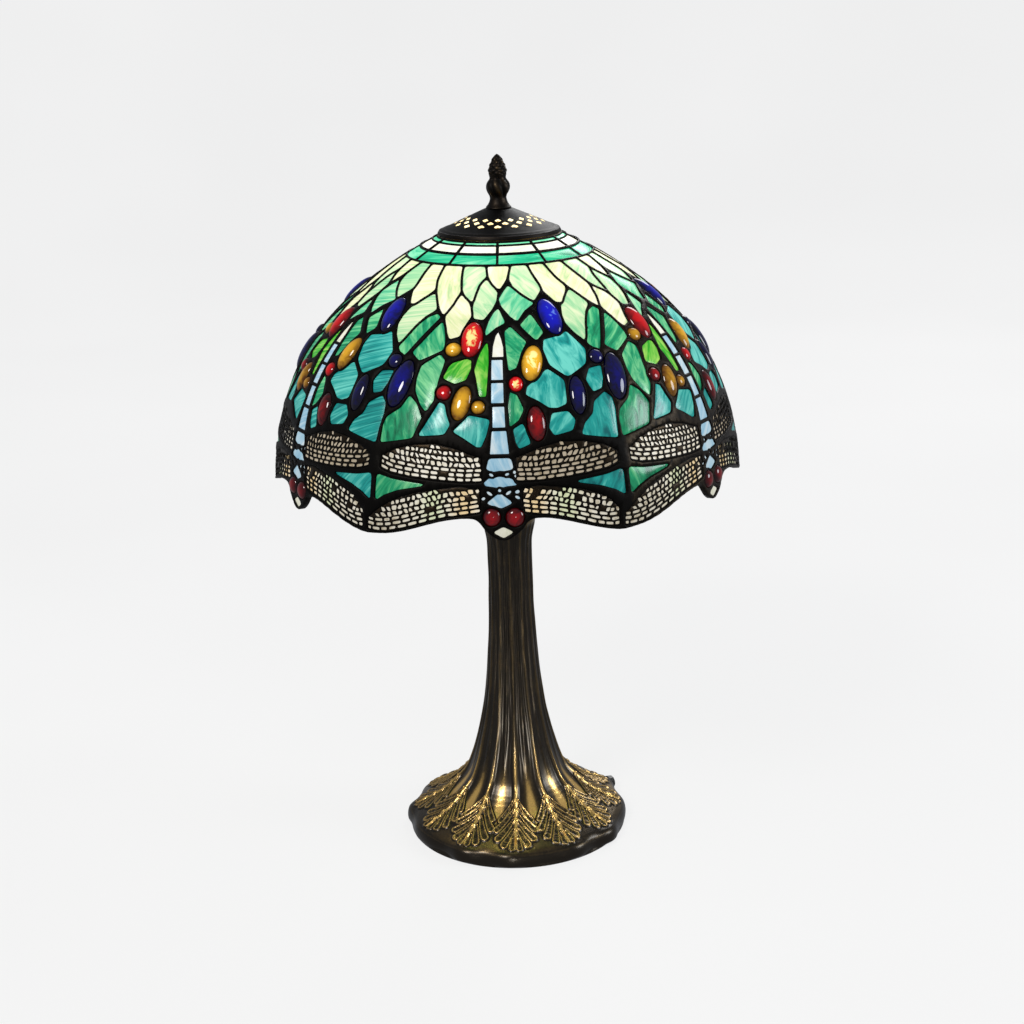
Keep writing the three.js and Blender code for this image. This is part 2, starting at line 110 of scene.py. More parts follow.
class Look:
    """A material being made: a shader, and the nodes that feed it."""

    def __init__(self, name):
        self.material = bpy.data.materials.new(name)
        self.material.use_nodes = True
        self.nodes = self.material.node_tree.nodes
        self.shader = self.nodes["Principled BSDF"]

    def node(self, kind, **settings):
        """A node whose settings are inputs, by name, or properties."""
        node = self.nodes.new(kind)
        for key, value in settings.items():
            if key in node.inputs:
                node.inputs[key].default_value = value
            else:
                setattr(node, key, value)
        return node

    def wire(self, output, socket):
        self.material.node_tree.links.new(output, socket)

    def feed(self, name, output):
        self.wire(output, self.shader.inputs[name])

    def set(self, name, value):
        self.shader.inputs[name].default_value = value

    def here(self):
        """The place on the object, in metres."""
        return self.nodes.new("ShaderNodeTexCoord").outputs["Object"]

    def attribute(self, name, kind="Fac"):
        return self.node("ShaderNodeAttribute", attribute_name=name).outputs[kind]

    def stretched(self, place, scale):
        node = self.node("ShaderNodeMapping", Scale=scale)
        self.wire(place, node.inputs["Vector"])
        return node.outputs["Vector"]

    def noise(self, place, **settings):
        node = self.node("ShaderNodeTexNoise", **settings)
        self.wire(place, node.inputs["Vector"])
        return node.outputs["Fac"]

    def blend(self, value, share, rest):
        """value * share + rest."""
        node = self.node("ShaderNodeMath", operation="MULTIPLY_ADD")
        self.wire(value, node.inputs[0])
        node.inputs[1].default_value = share
        self.wire(rest, node.inputs[2])
        return node.outputs[0]

    def ramp(self, value, stops):
        node = self.node("ShaderNodeValToRGB")
        elements = node.color_ramp.elements
        while len(elements) < len(stops):
            elements.new(0.5)
        for element, (position, colour) in zip(elements, stops):
            element.position = position
            element.color = (*linear(colour), 1)
        self.wire(value, node.inputs["Fac"])
        return node.outputs["Color"]

    def multiplied(self, colour, by=None, grey=1.0):
        """A colour times another one, or times a grey."""
        node = self.node("ShaderNodeMix", data_type="RGBA", blend_type="MULTIPLY")
        node.inputs["Factor"].default_value = 1.0
        self.wire(colour, node.inputs[6])
        if by is None:
            node.inputs[7].default_value = (grey, grey, grey, 1)
        else:
            self.wire(by, node.inputs[7])
        return node.outputs[2]

    def shine(self, colour, strength):
        """Makes it give off light of a colour."""
        self.feed("Emission Color", colour)
        self.set("Emission Strength", strength)

    def roughen(self, value, low, high):
        """Makes the roughness go from low to high as a value goes from 0 to 1."""
        node = self.node("ShaderNodeMapRange")
        node.inputs["To Min"].default_value = low
        node.inputs["To Max"].default_value = high
        self.wire(value, node.inputs["Value"])
        self.feed("Roughness", node.outputs["Result"])

    def bump(self, height, strength, distance=FINE_BUMP):
        node = self.node("ShaderNodeBump", Strength=strength, Distance=distance)
        self.wire(height, node.inputs["Height"])
        self.feed("Normal", node.outputs["Normal"])


def art_glass(name, dark, middle, light, streak=(190, 30, 1)):
    """Streaky hand-rolled glass lit from behind. The streak attribute lays the streaks along
    each piece, tone makes pieces lighter or darker, and glow holds the bulb's light."""
    look = Look(name)
    along = look.stretched(look.attribute("streak", "Vector"), streak)
    streaks = look.noise(along, Scale=1.0, Detail=5.0, Roughness=0.6, Distortion=0.8)
    clouds = look.noise(look.here(), Scale=38.0, Detail=2.0)
    pattern = look.blend(look.attribute("tone"), 1.0, look.blend(clouds, 0.35, streaks))
    colour = look.ramp(pattern, [(0.44, dark), (0.64, middle), (0.84, light)])
    look.shine(look.multiplied(colour, look.attribute("glow", "Color")), GLASS_GLOW)
    look.feed("Base Color", look.multiplied(colour, grey=GLASS_BODY))
    look.set("Roughness", 0.24)
    look.set("IOR", 1.46)
    look.bump(streaks, 0.25, 0.0008)
    return look.material


def jewel_glass(name, deep, clear, hot):
    """Clear pressed glass: deep at its edge, clear within, and hot where it gathers the light; the
    deep edge is painted shade and the hot middle a painted highlight.
    """
    look = Look(name)
    swirl = look.noise(look.here(), Scale=170.0, Detail=3.0, Distortion=1.6)
    total = look.blend(swirl, 0.8, look.attribute("tone"))
    colour = look.ramp(total, [(0.32, deep), (0.74, clear), (0.9, clear), (1.0, hot)])
    look.shine(look.multiplied(colour, look.attribute("glow", "Color")), 1.0)
    half_deep = tuple(c * 0.5 for c in deep)
    look.feed("Base Color", look.ramp(total, [(0.2, half_deep), (1.0, deep)]))
    look.set("Roughness", 0.05)
    look.set("IOR", 1.5)
    return look.material


def patinated(name, dark, middle, bright, rough=(0.32, 0.6), grain=700.0,
              stops=(0.32, 0.56, 0.94), coat=0.0):
    """Patinated metal whose raised places are rubbed bright; its point attribute says how raised a
    place is, and on the base it also holds painted highlights in the hollows between the leaves and
    on the crests.
    """
    look = Look(name)
    place = look.here()
    cloud = look.noise(place, Scale=55.0, Detail=6.0, Roughness=0.65)
    speck = look.noise(place, Scale=grain, Detail=3.0, Roughness=0.7)
    # rubbed wear, and on the base painted highlights too, broken up with noise
    wear_and_highlight = look.blend(speck, 0.24, look.blend(cloud, 0.3, look.attribute("rub_and_highlight")))
    look.feed("Base Color", look.ramp(wear_and_highlight, list(zip(stops, (dark, middle, bright)))))
    look.roughen(wear_and_highlight, rough[1], rough[0])
    look.set("Metallic", 0.85)
    look.set("Coat Weight", coat)
    look.set("Coat Roughness", 0.26)
    look.bump(speck, 0.25)
    return look.material


def plain_stuff(name, dark, light, scale, roughness, metallic=0.0, bump=0.2, stretch=(1, 1, 1),
                shine=0.0):
    """A simple mottled or brushed surface for the fittings, which may shine by itself."""
    look = Look(name)
    noise = look.noise(look.stretched(look.here(), stretch), Scale=scale, Detail=5.0,
                       Roughness=0.6)
    colour = look.ramp(noise, [(0.35, dark), (0.68, light)])
    look.feed("Base Color", colour)
    if shine:
        look.shine(colour, shine)
    look.roughen(noise, roughness - 0.08, roughness + 0.1)
    look.set("Metallic", metallic)
    look.bump(noise, bump)
    return look.material


M = {
    "ivory": art_glass("ivory_opal_glass", (214, 222, 190), (248, 246, 224), (255, 254, 244)),
    "cream": art_glass("cream_opal_glass", (170, 216, 150), (238, 242, 188), (255, 252, 226)),
    "pale": art_glass("pale_green_opal_glass", (104, 200, 146), (180, 230, 174), (236, 246, 202)),
    "mint": art_glass("mint_opal_glass", (44, 166, 122), (104, 212, 158), (196, 240, 190)),
    "green": art_glass("green_streaky_glass", (6, 104, 70), (34, 168, 114), (138, 228, 160)),
    "teal": art_glass("teal_streaky_glass", (2, 104, 106), (32, 168, 160), (116, 224, 208)),
    "band": art_glass("band_green_glass", (4, 138, 98), (34, 196, 142), (136, 232, 182)),
    "lime": art_glass("lime_green_glass", (14, 134, 24), (62, 190, 44), (176, 232, 104)),
    "sky": art_glass("sky_blue_glass", (134, 190, 220), (178, 218, 238), (226, 242, 248)),
    "wing": art_glass("wing_glass", (150, 128, 88), (236, 227, 202), (254, 248, 232),
                      streak=(260, 260, 1)),
    "red": jewel_glass("red_jewel_glass", (60, 0, 6), (240, 10, 16), (255, 236, 150)),
    "ruby": jewel_glass("ruby_eye_glass", (44, 0, 6), (176, 2, 16), (255, 60, 60)),
    "amber": jewel_glass("amber_jewel_glass", (104, 54, 2), (240, 184, 40), (255, 244, 160)),
    "blue": jewel_glass("blue_jewel_glass", (2, 0, 36), (8, 18, 212), (110, 150, 255)),
    "lead": patinated("solder_patina", (8, 6, 4), (26, 20, 13), (84, 72, 52), grain=420.0),
    "filigree": patinated("filigree_patina", (8, 6, 4), (26, 20, 13), (74, 60, 40)),
    "bronze": patinated("antique_bronze", (38, 31, 20), (86, 70, 42), (240, 196, 112),
                        rough=(0.22, 0.34), stops=(0.3, 0.52, 0.86), coat=0.4),
    "cap": patinated("dark_cap_bronze", (10, 8, 7), (34, 27, 20), (112, 92, 62)),
    # the cap's underside, given a glow of its own: painted light from the bulb
    "painted_cap_glow": plain_stuff("painted_lit_cap_underside", (236, 214, 160), (255, 244, 206), 60.0, 0.4,
                          shine=0.95),
    "brass": plain_stuff("lacquered_brass", (120, 88, 38), (204, 164, 88), 90.0, 0.3, 1.0),
    "steel": plain_stuff("zinc_plated_steel", (120, 120, 118), (182, 182, 178), 120.0, 0.35, 1.0),
    "tin": plain_stuff("rolled_tin", (150, 150, 146), (206, 206, 200), 150.0, 0.28, 1.0),
    "felt": plain_stuff("green_felt", (10, 18, 10), (32, 48, 30), 1500.0, 0.9, bump=0.8),
    "phenolic": plain_stuff("black_phenolic", (8, 7, 6), (28, 25, 22), 300.0, 0.32),
    "fibre": plain_stuff("fibre_tube", (74, 56, 34), (126, 100, 66), 240.0, 0.8,
                         stretch=(1, 1, 0.2)),
    "porcelain": plain_stuff("glazed_porcelain", (206, 200, 186), (236, 232, 222), 70.0, 0.22),
    "bulb": plain_stuff("frosted_bulb_glass", (255, 226, 168), (255, 244, 214), 40.0, 0.4,
                        shine=5.0),
}


# ---------------------------------------------------------------------------------------------
# Meshes

def make_piece(name, points, faces, materials, body, stands_for=(), picks=None,
               values=None, sharp=38):
    """One visible piece from points in metres. picks gives each face's material, values the
    point attributes its materials read, and sharp the degrees past which an edge is crisp."""
    mesh = bpy.data.meshes.new(name)
    mesh.from_pydata(points.tolist(), [], [list(map(int, f)) for f in faces])
    for material in materials:
        mesh.materials.append(material)
    if picks is not None:
        mesh.polygons.foreach_set("material_index", np.array(picks, np.int32))
    mesh.polygons.foreach_set("use_smooth", np.ones(len(mesh.polygons), bool))
    for key, value in (values or {}).items():
        value = np.asarray(value, np.float32)
        kind, field = ("FLOAT_VECTOR", "vector") if value.ndim == 2 else ("FLOAT", "value")
        mesh.attributes.new(key, kind, "POINT").data.foreach_set(field, value.ravel())
    mesh.update()
    mesh.set_sharp_from_angle(angle=math.radians(sharp))
    piece = bpy.data.objects.new(name, mesh)
    bpy.context.scene.collection.objects.link(piece)
    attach(piece, body)
    if stands_for:
        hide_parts(*stands_for)


def ring_faces(rows, sides, closed=False):
    """Four-sided faces between rows of points, each row a ring. closed joins the last row to
    the first."""
    faces = []
    for i in range(rows if closed else rows - 1):
        low, high = i * sides, (i + 1) % rows * sides
        faces += [(low + j, low + (j + 1) % sides, high + (j + 1) % sides, high + j)
                  for j in range(sides)]
    return faces


def end_faces(rows, sides):
    """The faces that shut the first and the last ring."""
    return [tuple(range(sides))[::-1], tuple(range((rows - 1) * sides, rows * sides))]


def upward(verts, triangles):
    """The triangles with one way round, whichever way each one had."""
    a, b, c = (verts[triangles[:, i]] for i in range(3))
    area = (b[:, 0] - a[:, 0]) * (c[:, 1] - a[:, 1]) - (b[:, 1] - a[:, 1]) * (c[:, 0] - a[:, 0])
    triangles[area > 0] = triangles[area > 0][:, ::-1]
    return triangles


class Outlines:
    """Closed outlines and loose points, to be cut into triangles together."""

    def __init__(self):
        self.points, self.faces = [], []

    def add(self, outline):
        self.faces.append(list(range(len(self.points), len(self.points) + len(outline))))
        self.points.extend(map(tuple, outline))

    def cut(self, tolerance=1e-7):
        """Points, triangles, and for each triangle the outlines that it lies in."""
        verts, _, triangles, _, _, origins = delaunay_2d_cdt(
            [Vector(p) for p in self.points], [], self.faces, 0, tolerance, True)
        return np.array([tuple(v) for v in verts]), triangles, origins


def rim_edges(triangles):
    """The directed edges that only one triangle has."""
    edges = np.concatenate([triangles[:, [0, 1]], triangles[:, [1, 2]], triangles[:, [2, 0]]])
    seen = {(a, b) for a, b in edges.tolist()}
    return [(a, b) for a, b in edges.tolist() if (b, a) not in seen]


def plate(triangles, outer, inner):
    """A closed plate: the triangles over outer and inner points, and walls round their rim."""
    used = np.unique(triangles)
    index = np.full(triangles.max() + 1, -1)
    index[used] = np.arange(len(used))
    top = index[triangles]
    n = len(used)
    walls = [(b, a, a + n, b + n) for a, b in rim_edges(top)]
    faces = top.tolist() + (top[:, ::-1] + n).tolist() + walls
    return np.concatenate([outer[used], inner[used]]), faces, used


def turned(name, profile, material, body, stands_for=(), sides=64, relief=None, values=None,
           closed=False, axis=None, sharp=38):
    """A piece turned about Z (or about axis, a matrix) from [radius, z] points in mm. relief
    gives the height in mm to add at (angle, row) and values its point attributes."""
    profile = np.array(profile, float)
    rows, angles = len(profile), np.arange(sides) * math.tau / sides
    a, row = np.meshgrid(angles, np.arange(rows))
    r, z = profile[row, 0], profile[row, 1]
    if relief is not None:
        r = r + relief(a, row)
    points = np.column_stack([(r * np.sin(a)).ravel(), (-r * np.cos(a)).ravel(), z.ravel()]) * MM
    faces = ring_faces(rows, sides, closed)
    if not closed:
        faces += end_faces(rows, sides)
    if axis is not None:
        points = points @ np.array(axis.to_3x3()).T + np.array(axis.translation)
    given = {k: v(a, row).ravel() for k, v in (values or {}).items()}
    make_piece(name, points, faces, [material], body, stands_for, values=given,
               sharp=sharp)


# ---------------------------------------------------------------------------------------------
# The pattern of one sector, as [degrees, s in mm] outlines of what shows between the lead.

PIECES = {
    "band_top_left": ("band", [(-28.8, 2.5), (-1.2, 2.5), (-1.2, 4.7), (-28.8, 4.7)]),
    "band_top_right": ("band", [(1.2, 2.5), (28.8, 2.5), (28.8, 4.7), (1.2, 4.7)]),
    "band_cream_left": ("ivory", [(-28.7, 6), (-1.3, 6), (-1.2, 13), (-28.8, 13)]),
    "band_cream_right": ("ivory", [(1.3, 6), (28.7, 6), (28.8, 13), (1.2, 13)]),
    "band_green_left": ("band", [(-29.1, 15.1), (-0.9, 15.1), (-0.8, 23.9), (-29.2, 23.9)]),
    "band_green_right": ("band", [(0.9, 15.1), (29.1, 15.1), (29.2, 23.9), (0.8, 23.9)]),
    "petal_1": ("cream", [(-31.3, 25.8), (-20.7, 25.8), (-19.5, 32), (-17, 44), (-16.4, 48),
                          (-17.5, 58), (-19.8, 66.5), (-22, 62), (-26, 51), (-29.5, 40), (-31, 30)]),
    "petal_2": ("pale", [(-19, 25.8), (-7, 25.8), (-5.6, 34), (-8.3, 41), (-9.5, 50), (-10, 56),
                         (-13, 52), (-15.5, 45), (-17.5, 35)]),
    "petal_3": ("cream", [(-5.5, 25.8), (6.5, 25.8), (5, 33), (4, 38), (1, 46), (-2, 41),
                          (-4.5, 33)]),
    "petal_4": ("pale", [(-5, 38), (0, 48.5), (-0.5, 56), (-2, 62), (-4.8, 70), (-8, 69),
                         (-9, 60), (-8.5, 50), (-7.5, 43), (-6, 39)]),
    "petal_5": ("cream", [(-15, 51), (-12, 55), (-10.5, 60), (-9.3, 67), (-11, 74), (-12, 82),
                          (-15, 84), (-16.5, 79), (-18.7, 68), (-17, 60), (-16, 54)]),
    "petal_6": ("pale", [(32.5, 50.3), (36.5, 63), (33, 69), (30.5, 78), (28.2, 90), (25.5, 83),
                         (23.9, 76), (23.9, 70), (25, 63), (28, 57)]),
    "petal_7": ("cream", [(18.5, 25.8), (27, 25.8), (28.5, 38), (31.2, 47.5), (26, 60), (23.5, 59),
                          (20.5, 50), (19.8, 43), (18.5, 32)]),
    "petal_8": ("pale", [(8.5, 25.8), (16.5, 25.8), (18, 35), (19.5, 47), (14.5, 57), (10, 50),
                         (7.5, 44), (6.3, 38), (7, 32)]),
    "petal_9": ("mint", [(5, 43.5), (8, 48), (11, 53), (14.3, 58.5), (10, 64), (7, 71.5),
                         (5, 68), (2, 60), (1, 54), (3, 48)]),
    "field_1": ("green", [(-22.3, 66.5), (-20.8, 69), (-23, 76), (-25.5, 85), (-28, 95),
                          (-29, 97.5), (-31.6, 91.5), (-30, 83), (-27.5, 74.5), (-25, 69)]),
    "field_2": ("green", [(-19.3, 72.5), (-17.8, 77), (-16.6, 86), (-16.3, 91.5), (-20, 96),
                          (-23, 99.5), (-26, 94.5), (-24, 88), (-21.5, 79)]),
    "field_3": ("mint", [(0.5, 62), (2.7, 72.5), (-0.5, 76), (-3.5, 81.5), (-3.5, 78),
                         (-2.5, 71), (-1, 65)]),
    "field_4": ("lime", [(-3, 87), (-2.7, 92), (-2.5, 100), (-2.8, 115), (-3, 121.3),
                         (-4.5, 121.3), (-5.5, 110), (-6.1, 105), (-5.5, 99), (-4.5, 92)]),
    "field_5": ("lime", [(-8.5, 97.8), (-7.5, 99), (-7.4, 104), (-8.5, 111), (-11.3, 113.5),
                         (-14.7, 110.2), (-13.5, 103), (-12.5, 100.5)]),
    "field_6": ("green", [(-17, 95.3), (-15.3, 99), (-15.5, 103), (-16.2, 112), (-16.5, 124),
                          (-18.2, 130.8), (-19.8, 127), (-21.8, 119), (-22.2, 112), (-21.8, 103)]),
    "field_7": ("green", [(-23.3, 122.5), (-21, 127), (-19.2, 135), (-20, 140), (-21, 147),
                          (-26, 149.5), (-29.2, 151), (-29.2, 146), (-29.2, 141), (-28.5, 136),
                          (-25, 130)]),
    "field_8": ("teal", [(-14.8, 125.5), (-13.5, 127), (-12.8, 133), (-11.8, 138.5), (-13, 144),
                         (-19.3, 145.5), (-18, 140), (-16, 131)]),
    "field_9": ("teal", [(-7, 133), (-2, 135.5), (-2.8, 144), (-4, 151), (-5, 151), (-8, 146),
                         (-10.7, 142.3), (-8.5, 137)]),
    "field_10": ("teal", [(26, 108.5), (29.7, 107.5), (29.3, 114), (28, 121), (25.5, 122.5),
                          (24.8, 119), (24.3, 115)]),
    "field_11": ("teal", [(28.5, 124), (30, 128), (30.2, 134), (29.6, 143), (29.3, 151.5),
                          (25, 149.5), (20.3, 147), (21.5, 141), (24, 136), (25, 129)]),
    "field_12": ("green", [(12, 67.5), (13, 71), (15, 81), (12.3, 86.3), (8, 75), (10, 71)]),
    "field_13": ("green", [(4.5, 76), (7, 82), (9, 87), (7, 94), (6, 100), (5.2, 104),
                           (3.4, 105.5), (3, 95), (2.7, 79)]),
    "field_14": ("teal", [(22.8, 82), (25, 89), (26.8, 95.5), (25.5, 104.5), (19.3, 111.8),
                          (15, 103.5), (14, 93), (14.8, 86.5), (19, 85)]),
    "field_15": ("teal", [(14, 106), (18, 114), (17.5, 128), (15, 130), (13, 129.5),
                          (10.5, 125), (7.5, 121), (8, 116.5), (11, 111)]),
    "field_16": ("green", [(3.5, 119), (5, 121.5), (6.4, 130), (5, 136), (3, 139.5), (3, 135),
                           (2.8, 128)]),
    "field_17": ("teal", [(3.8, 141.5), (6, 138.5), (7, 145), (7.5, 150), (5, 152.5), (4.3, 149)]),
    "field_18": ("teal", [(13.5, 133.5), (17.5, 133), (19, 138.5), (18, 144), (13.5, 146),
                          (12.5, 141.5)]),
    "corner_right": ("teal", [(17.6, 174), (25, 172.2), (29.2, 170), (29.2, 185), (27, 181.2),
                              (23.6, 177.6)]),
    "corner_left": ("green", [(-29.2, 170), (-25, 172.2), (-17, 174), (-23.6, 177.6),
                              (-27, 181.2), (-29.2, 185)]),
    "tail_tip": ("ivory", [(-1.3, 96.5), (-1.1, 89), (-0.3, 82), (0.5, 79.5), (1.3, 84),
                           (1.9, 90), (1.9, 96.5)]),
    "tail_1": ("sky", [(-1.5, 98.5), (1.6, 98.5), (1.6, 111.3), (-1.5, 111.3)]),
    "tail_2": ("sky", [(-1.5, 113.3), (1.6, 113.3), (1.6, 125.5), (-1.5, 125.5)]),
    "tail_3": ("sky", [(-1.2, 127.8), (1.7, 127.8), (1.8, 140), (-1.2, 140)]),
    "tail_4": ("sky", [(-1.4, 142.2), (2, 142.2), (2.5, 155.5), (-1.9, 155.5)]),
    "thorax_1": ("sky", [(-2.1, 158.4), (2.7, 158.4), (3.4, 163.8), (1.9, 165.4), (0.3, 164.9),
                         (-1.4, 165.6), (-2.7, 164)]),
    "thorax_2": ("sky", [(-3.3, 172.3), (-2, 169.6), (0.2, 169.1), (2, 169.6), (4, 172),
                         (3.8, 173.7), (1.6, 174.2), (0.2, 175.2), (-1.4, 174.4), (-3, 173.8)]),
    "thorax_3": ("sky", [(0.1, 178.6), (2.8, 184.3), (0.4, 187.2), (-2.8, 184.4)]),
    "beak": ("ivory", [(0.7, 198.9), (2.8, 201.8), (0.7, 205), (-1.4, 201.8)]),
}

# small blue pieces round the thorax: centre, half width and half height in mm, lean
SPOTS = [((-1.7, 167.7), 1.3, 0.75, 30), ((1.9, 167.5), 1.2, 0.7, -20), ((3.6, 166.4), 0.8, 0.9, 0),
         ((3.9, 168.6), 0.9, 0.8, 0), ((0.1, 176.9), 0.85, 0.85, 0), ((-2.2, 178.6), 1.8, 0.8, 35),
         ((2.1, 178.4), 1.8, 0.8, -35), ((4.1, 177.9), 1.3, 1.0, -20), ((4.1, 181.2), 1.5, 0.8, 30),
         ((-3.6, 181.6), 1.1, 0.8, -30)]

# centre (degrees, s), half width and half height in mm, lean to the right of its top in degrees,
# and how much light it gathers
JEWELS = {
    "jewel_1": ("red", (-7.8, 83.8), 6.4, 12.2, 2, 0.9),
    "jewel_2": ("amber", (-13.2, 91.5), 4.7, 4.5, 0, 0.8),
    "jewel_3": ("red", (-14, 119.5), 4.5, 4.5, 0, 0.5),
    "jewel_4": ("amber", (-9.1, 125.3), 5.4, 10.4, 12, 0.62),
    "jewel_5": ("amber", (-4.8, 128), 4.0, 4.0, 0, 0.6),
    "jewel_6": ("amber", (10, 101), 6.0, 11.6, 14, 1.0),
    "jewel_7": ("red", (5, 114.3), 4.1, 4.6, 0, 0.9),
    "jewel_8": ("red", (9.4, 138.5), 5.5, 10.4, -2, 0.26),
    "jewel_9": ("blue", (18.9, 69), 6.4, 13.6, -5, 0.7),
    "jewel_10": ("blue", (29.3, 101.2), 4.7, 4.7, 0, 0.15),
    "jewel_11": ("blue", (-26.8, 114.5), 7.0, 15.2, 9, 0.24),
    "jewel_12": ("blue", (20.9, 123.5), 5.0, 11.8, 4, 0.1),
    "eye_left": ("ruby", (-1.8, 192.6), 5.3, 5.4, 0, 0.42),
    "eye_right": ("ruby", (3.4, 193.0), 5.5, 5.6, 0, 0.42),
}

# the wings' windows from the body to the tip, as upper and lower edges, filled with small cells
UPPER_WING = ([(3.9, 158.4), (6.5, 156.2), (10, 152.8), (15, 150.2), (20, 151.2), (25, 154.4),
               (28.4, 159.4)],
              [(3.9, 171.4), (8, 171.8), (14, 170.8), (20, 169.6), (25.5, 168), (28.4, 165.6)])
LOWER_LEFT_WING = ([(4.3, 176.4), (9, 174.8), (14, 176.6), (19, 179), (23, 182.4), (26, 186.4),
                    (29, 191.6), (31.4, 197.4)],
                   [(4.3, 189.6), (8, 191.2), (12, 192.4), (17, 196), (22, 200.2), (26, 203),
                    (29, 204), (31.4, 203.4)])
LOWER_RIGHT_WING = ([(5.2, 176.4), (9, 174.8), (14, 176.6), (19, 179), (23, 183), (25.6, 187.6),
                     (27.4, 193.4)],
                    [(5.2, 189.8), (8, 191.2), (12, 192.4), (17, 196), (22, 200.4), (25.6, 202.8),
                     (27.4, 202.6)])

# the shade's lower edge round one sector, from tip to tip past the beak
RIM = [(-32, 205.9), (-30, 205.6), (-26, 204.6), (-22, 202.2), (-17, 198), (-13, 195), (-9, 193.4),
       (-6, 193.4), (-4.6, 195.6), (-3.8, 199), (-2.4, 203), (-0.6, 206.2), (0.7, 206.8),
       (2, 206.2), (4, 203), (5.4, 199), (6.2, 195.8), (7.6, 193.8), (11, 194), (15, 196.4),
       (20, 200.6), (24, 203.8), (26.6, 205.3), (28, 205.9)]
TOP_S = 0.9

WING_DEGREE = 2.64  # mm to a degree at the skirt
LEAD_GROWTH = 0.3


def smoothed(points, ratio=0.16):
    """Closed outline with its corners cut, as foiled glass has."""
    after, before = np.roll(points, -1, 0), np.roll(points, 1, 0)
    start, end = points + (before - points) * ratio, points + (after - points) * ratio
    middle = points * 0.5 + (start + end) * 0.25
    return np.stack([start, middle, end], 1).reshape(-1, 2)


def refined(points, spacing):
    """Closed plan outline with its edges cut to at most spacing mm."""
    out = []
    for a, b in zip(points, np.roll(points, -1, 0)):
        length = np.hypot(*(b - a)) * radius_at((a[1] + b[1]) / 2)
        n = max(1, math.ceil(length / spacing))
        out += [a + (b - a) * i / n for i in range(n)]
    return np.array(out)


def ellipse(centre, half_width, half_height, lean, sides):
    """Plan outline of an oval jewel."""
    c = plan([centre])[0]
    r = radius_at(c[1])
    t = np.arange(sides) * math.tau / sides
    x, y = half_width * np.cos(t), half_height * np.sin(t)
    lean = math.radians(lean)
    return c + np.column_stack([x * math.cos(lean) - y * math.sin(lean),
                                x * math.sin(lean) + y * math.cos(lean)]) / r


# the wings' cells, in mm: bricks below, pebbles above
BRICK_SHARE = 0.4
BRICK_TALL, BRICK_WIDE, BRICK_BUMP = (1.55, 1.85), (3.4, 5.8), 0.16
PEBBLE_TALL, PEBBLE_WIDE, PEBBLE_BUMP, PEBBLE_LEAN = (2.1, 2.7), (1.9, 3.3), 0.42, (-0.3, 0.9)
CELL_GAP, ROW_GAP, FIRST_ROW = (0.75, 1.15), 0.98, 0.35
CELLS_LEFT_OUT = 0.06


def wing_cells(window, draw):
    """Outlines of a right wing's small cells: rows of bricks along its lower edge, and rounder
    pebbles above them, leaning to the tip."""
    top, bottom = np.array(window[0]), np.array(window[1])
    high = lambda a: np.interp(a, top[:, 0], top[:, 1])
    low = lambda a: np.interp(a, bottom[:, 0], bottom[:, 1])
    start, end = top[0, 0], top[-1, 0]
    deepest = max(low(a) - high(a) for a in np.linspace(start, end, 30))
    cells = []
    below = FIRST_ROW
    while below < deepest - 1.0:
        brick = below < deepest * BRICK_SHARE
        tall = draw.uniform(*(BRICK_TALL if brick else PEBBLE_TALL))
        a = start + draw.uniform(0, 0.8)
        while a < end - 0.6:
            wide = draw.uniform(*(BRICK_WIDE if brick else PEBBLE_WIDE))
            b = min(a + wide / WING_DEGREE, end - 0.15)
            middle = (a + b) / 2
            room = low(middle) - high(middle) - below
            fits = room > tall * 0.75 and (b - a) * WING_DEGREE > 1.0
            if fits and draw.random() > CELLS_LEFT_OUT:
                height = min(tall, room - 0.1)
                lean = 0.0 if brick else draw.uniform(*PEBBLE_LEAN)
                bump = BRICK_BUMP if brick else PEBBLE_BUMP
                corners = []
                for x, up in ((a, 1), (b, 1), (b, 0), (a, 0)):
                    slide = lean * (up - 0.5) * height / WING_DEGREE
                    corners.append((x + slide + draw.uniform(-bump, bump) / WING_DEGREE,
                                    low(x) - below - up * height + draw.uniform(-bump, bump)))
                corners = plan(corners)
                centre = corners.mean(0)
                cells.append(centre + (corners - centre) * draw.uniform(0.9, 1.0))
            a = b + draw.uniform(*CELL_GAP) / WING_DEGREE
        below += tall + ROW_GAP
    return cells


def mirror(outline):
    return [(-a, s) for a, s in reversed(outline)]


def wing_window(window):
    """The closed outline of a wing's window, a little wider than its cells."""
    top = [(a, s - 0.4) for a, s in window[0]]
    bottom = [(a, s + 0.4) for a, s in window[1]]
    return top + bottom[::-1]


def grown(points, by):
    """A plan outline moved outwards by some mm."""
    points = ordered(points)
    return points + normals(points) * (by / radius_at(points[:, 1]))[:, None]


# ---------------------------------------------------------------------------------------------
# Triangulating the sector

# in mm, but for OVERHANG, which says how far past the sector the outlines next to it are kept
LEAD_ROWS = (0.45, 1.05)  # rows of points inside the lead, from its edge
LEAD_GAP, LEAD_STEP, GLASS_STEP, FILIGREE_STEP = 1.6, 1.5, 2.8, 1.0
NEAR_LEAD, NEAR_FILIGREE, FINE_STEP, CLEARANCE = 2.0, 1.2, 0.75, 0.36
ROW_STEP, EDGE_STEP, RIM_STEP, FENCE_STEP = 0.6, 1.3, 1.2, 0.3
WINGS_FROM_S = 146
LOWEST_S = 205.5
JITTER = 0.02
OVERHANG = math.radians(14)
NEIGHBOURS = (-1, 0, 1)
PUSH_ROUNDS, PUSH_SHARE, MOST_PUSH, PUSH_FENCE_STEP = 4, 0.6, 2.5, 0.8


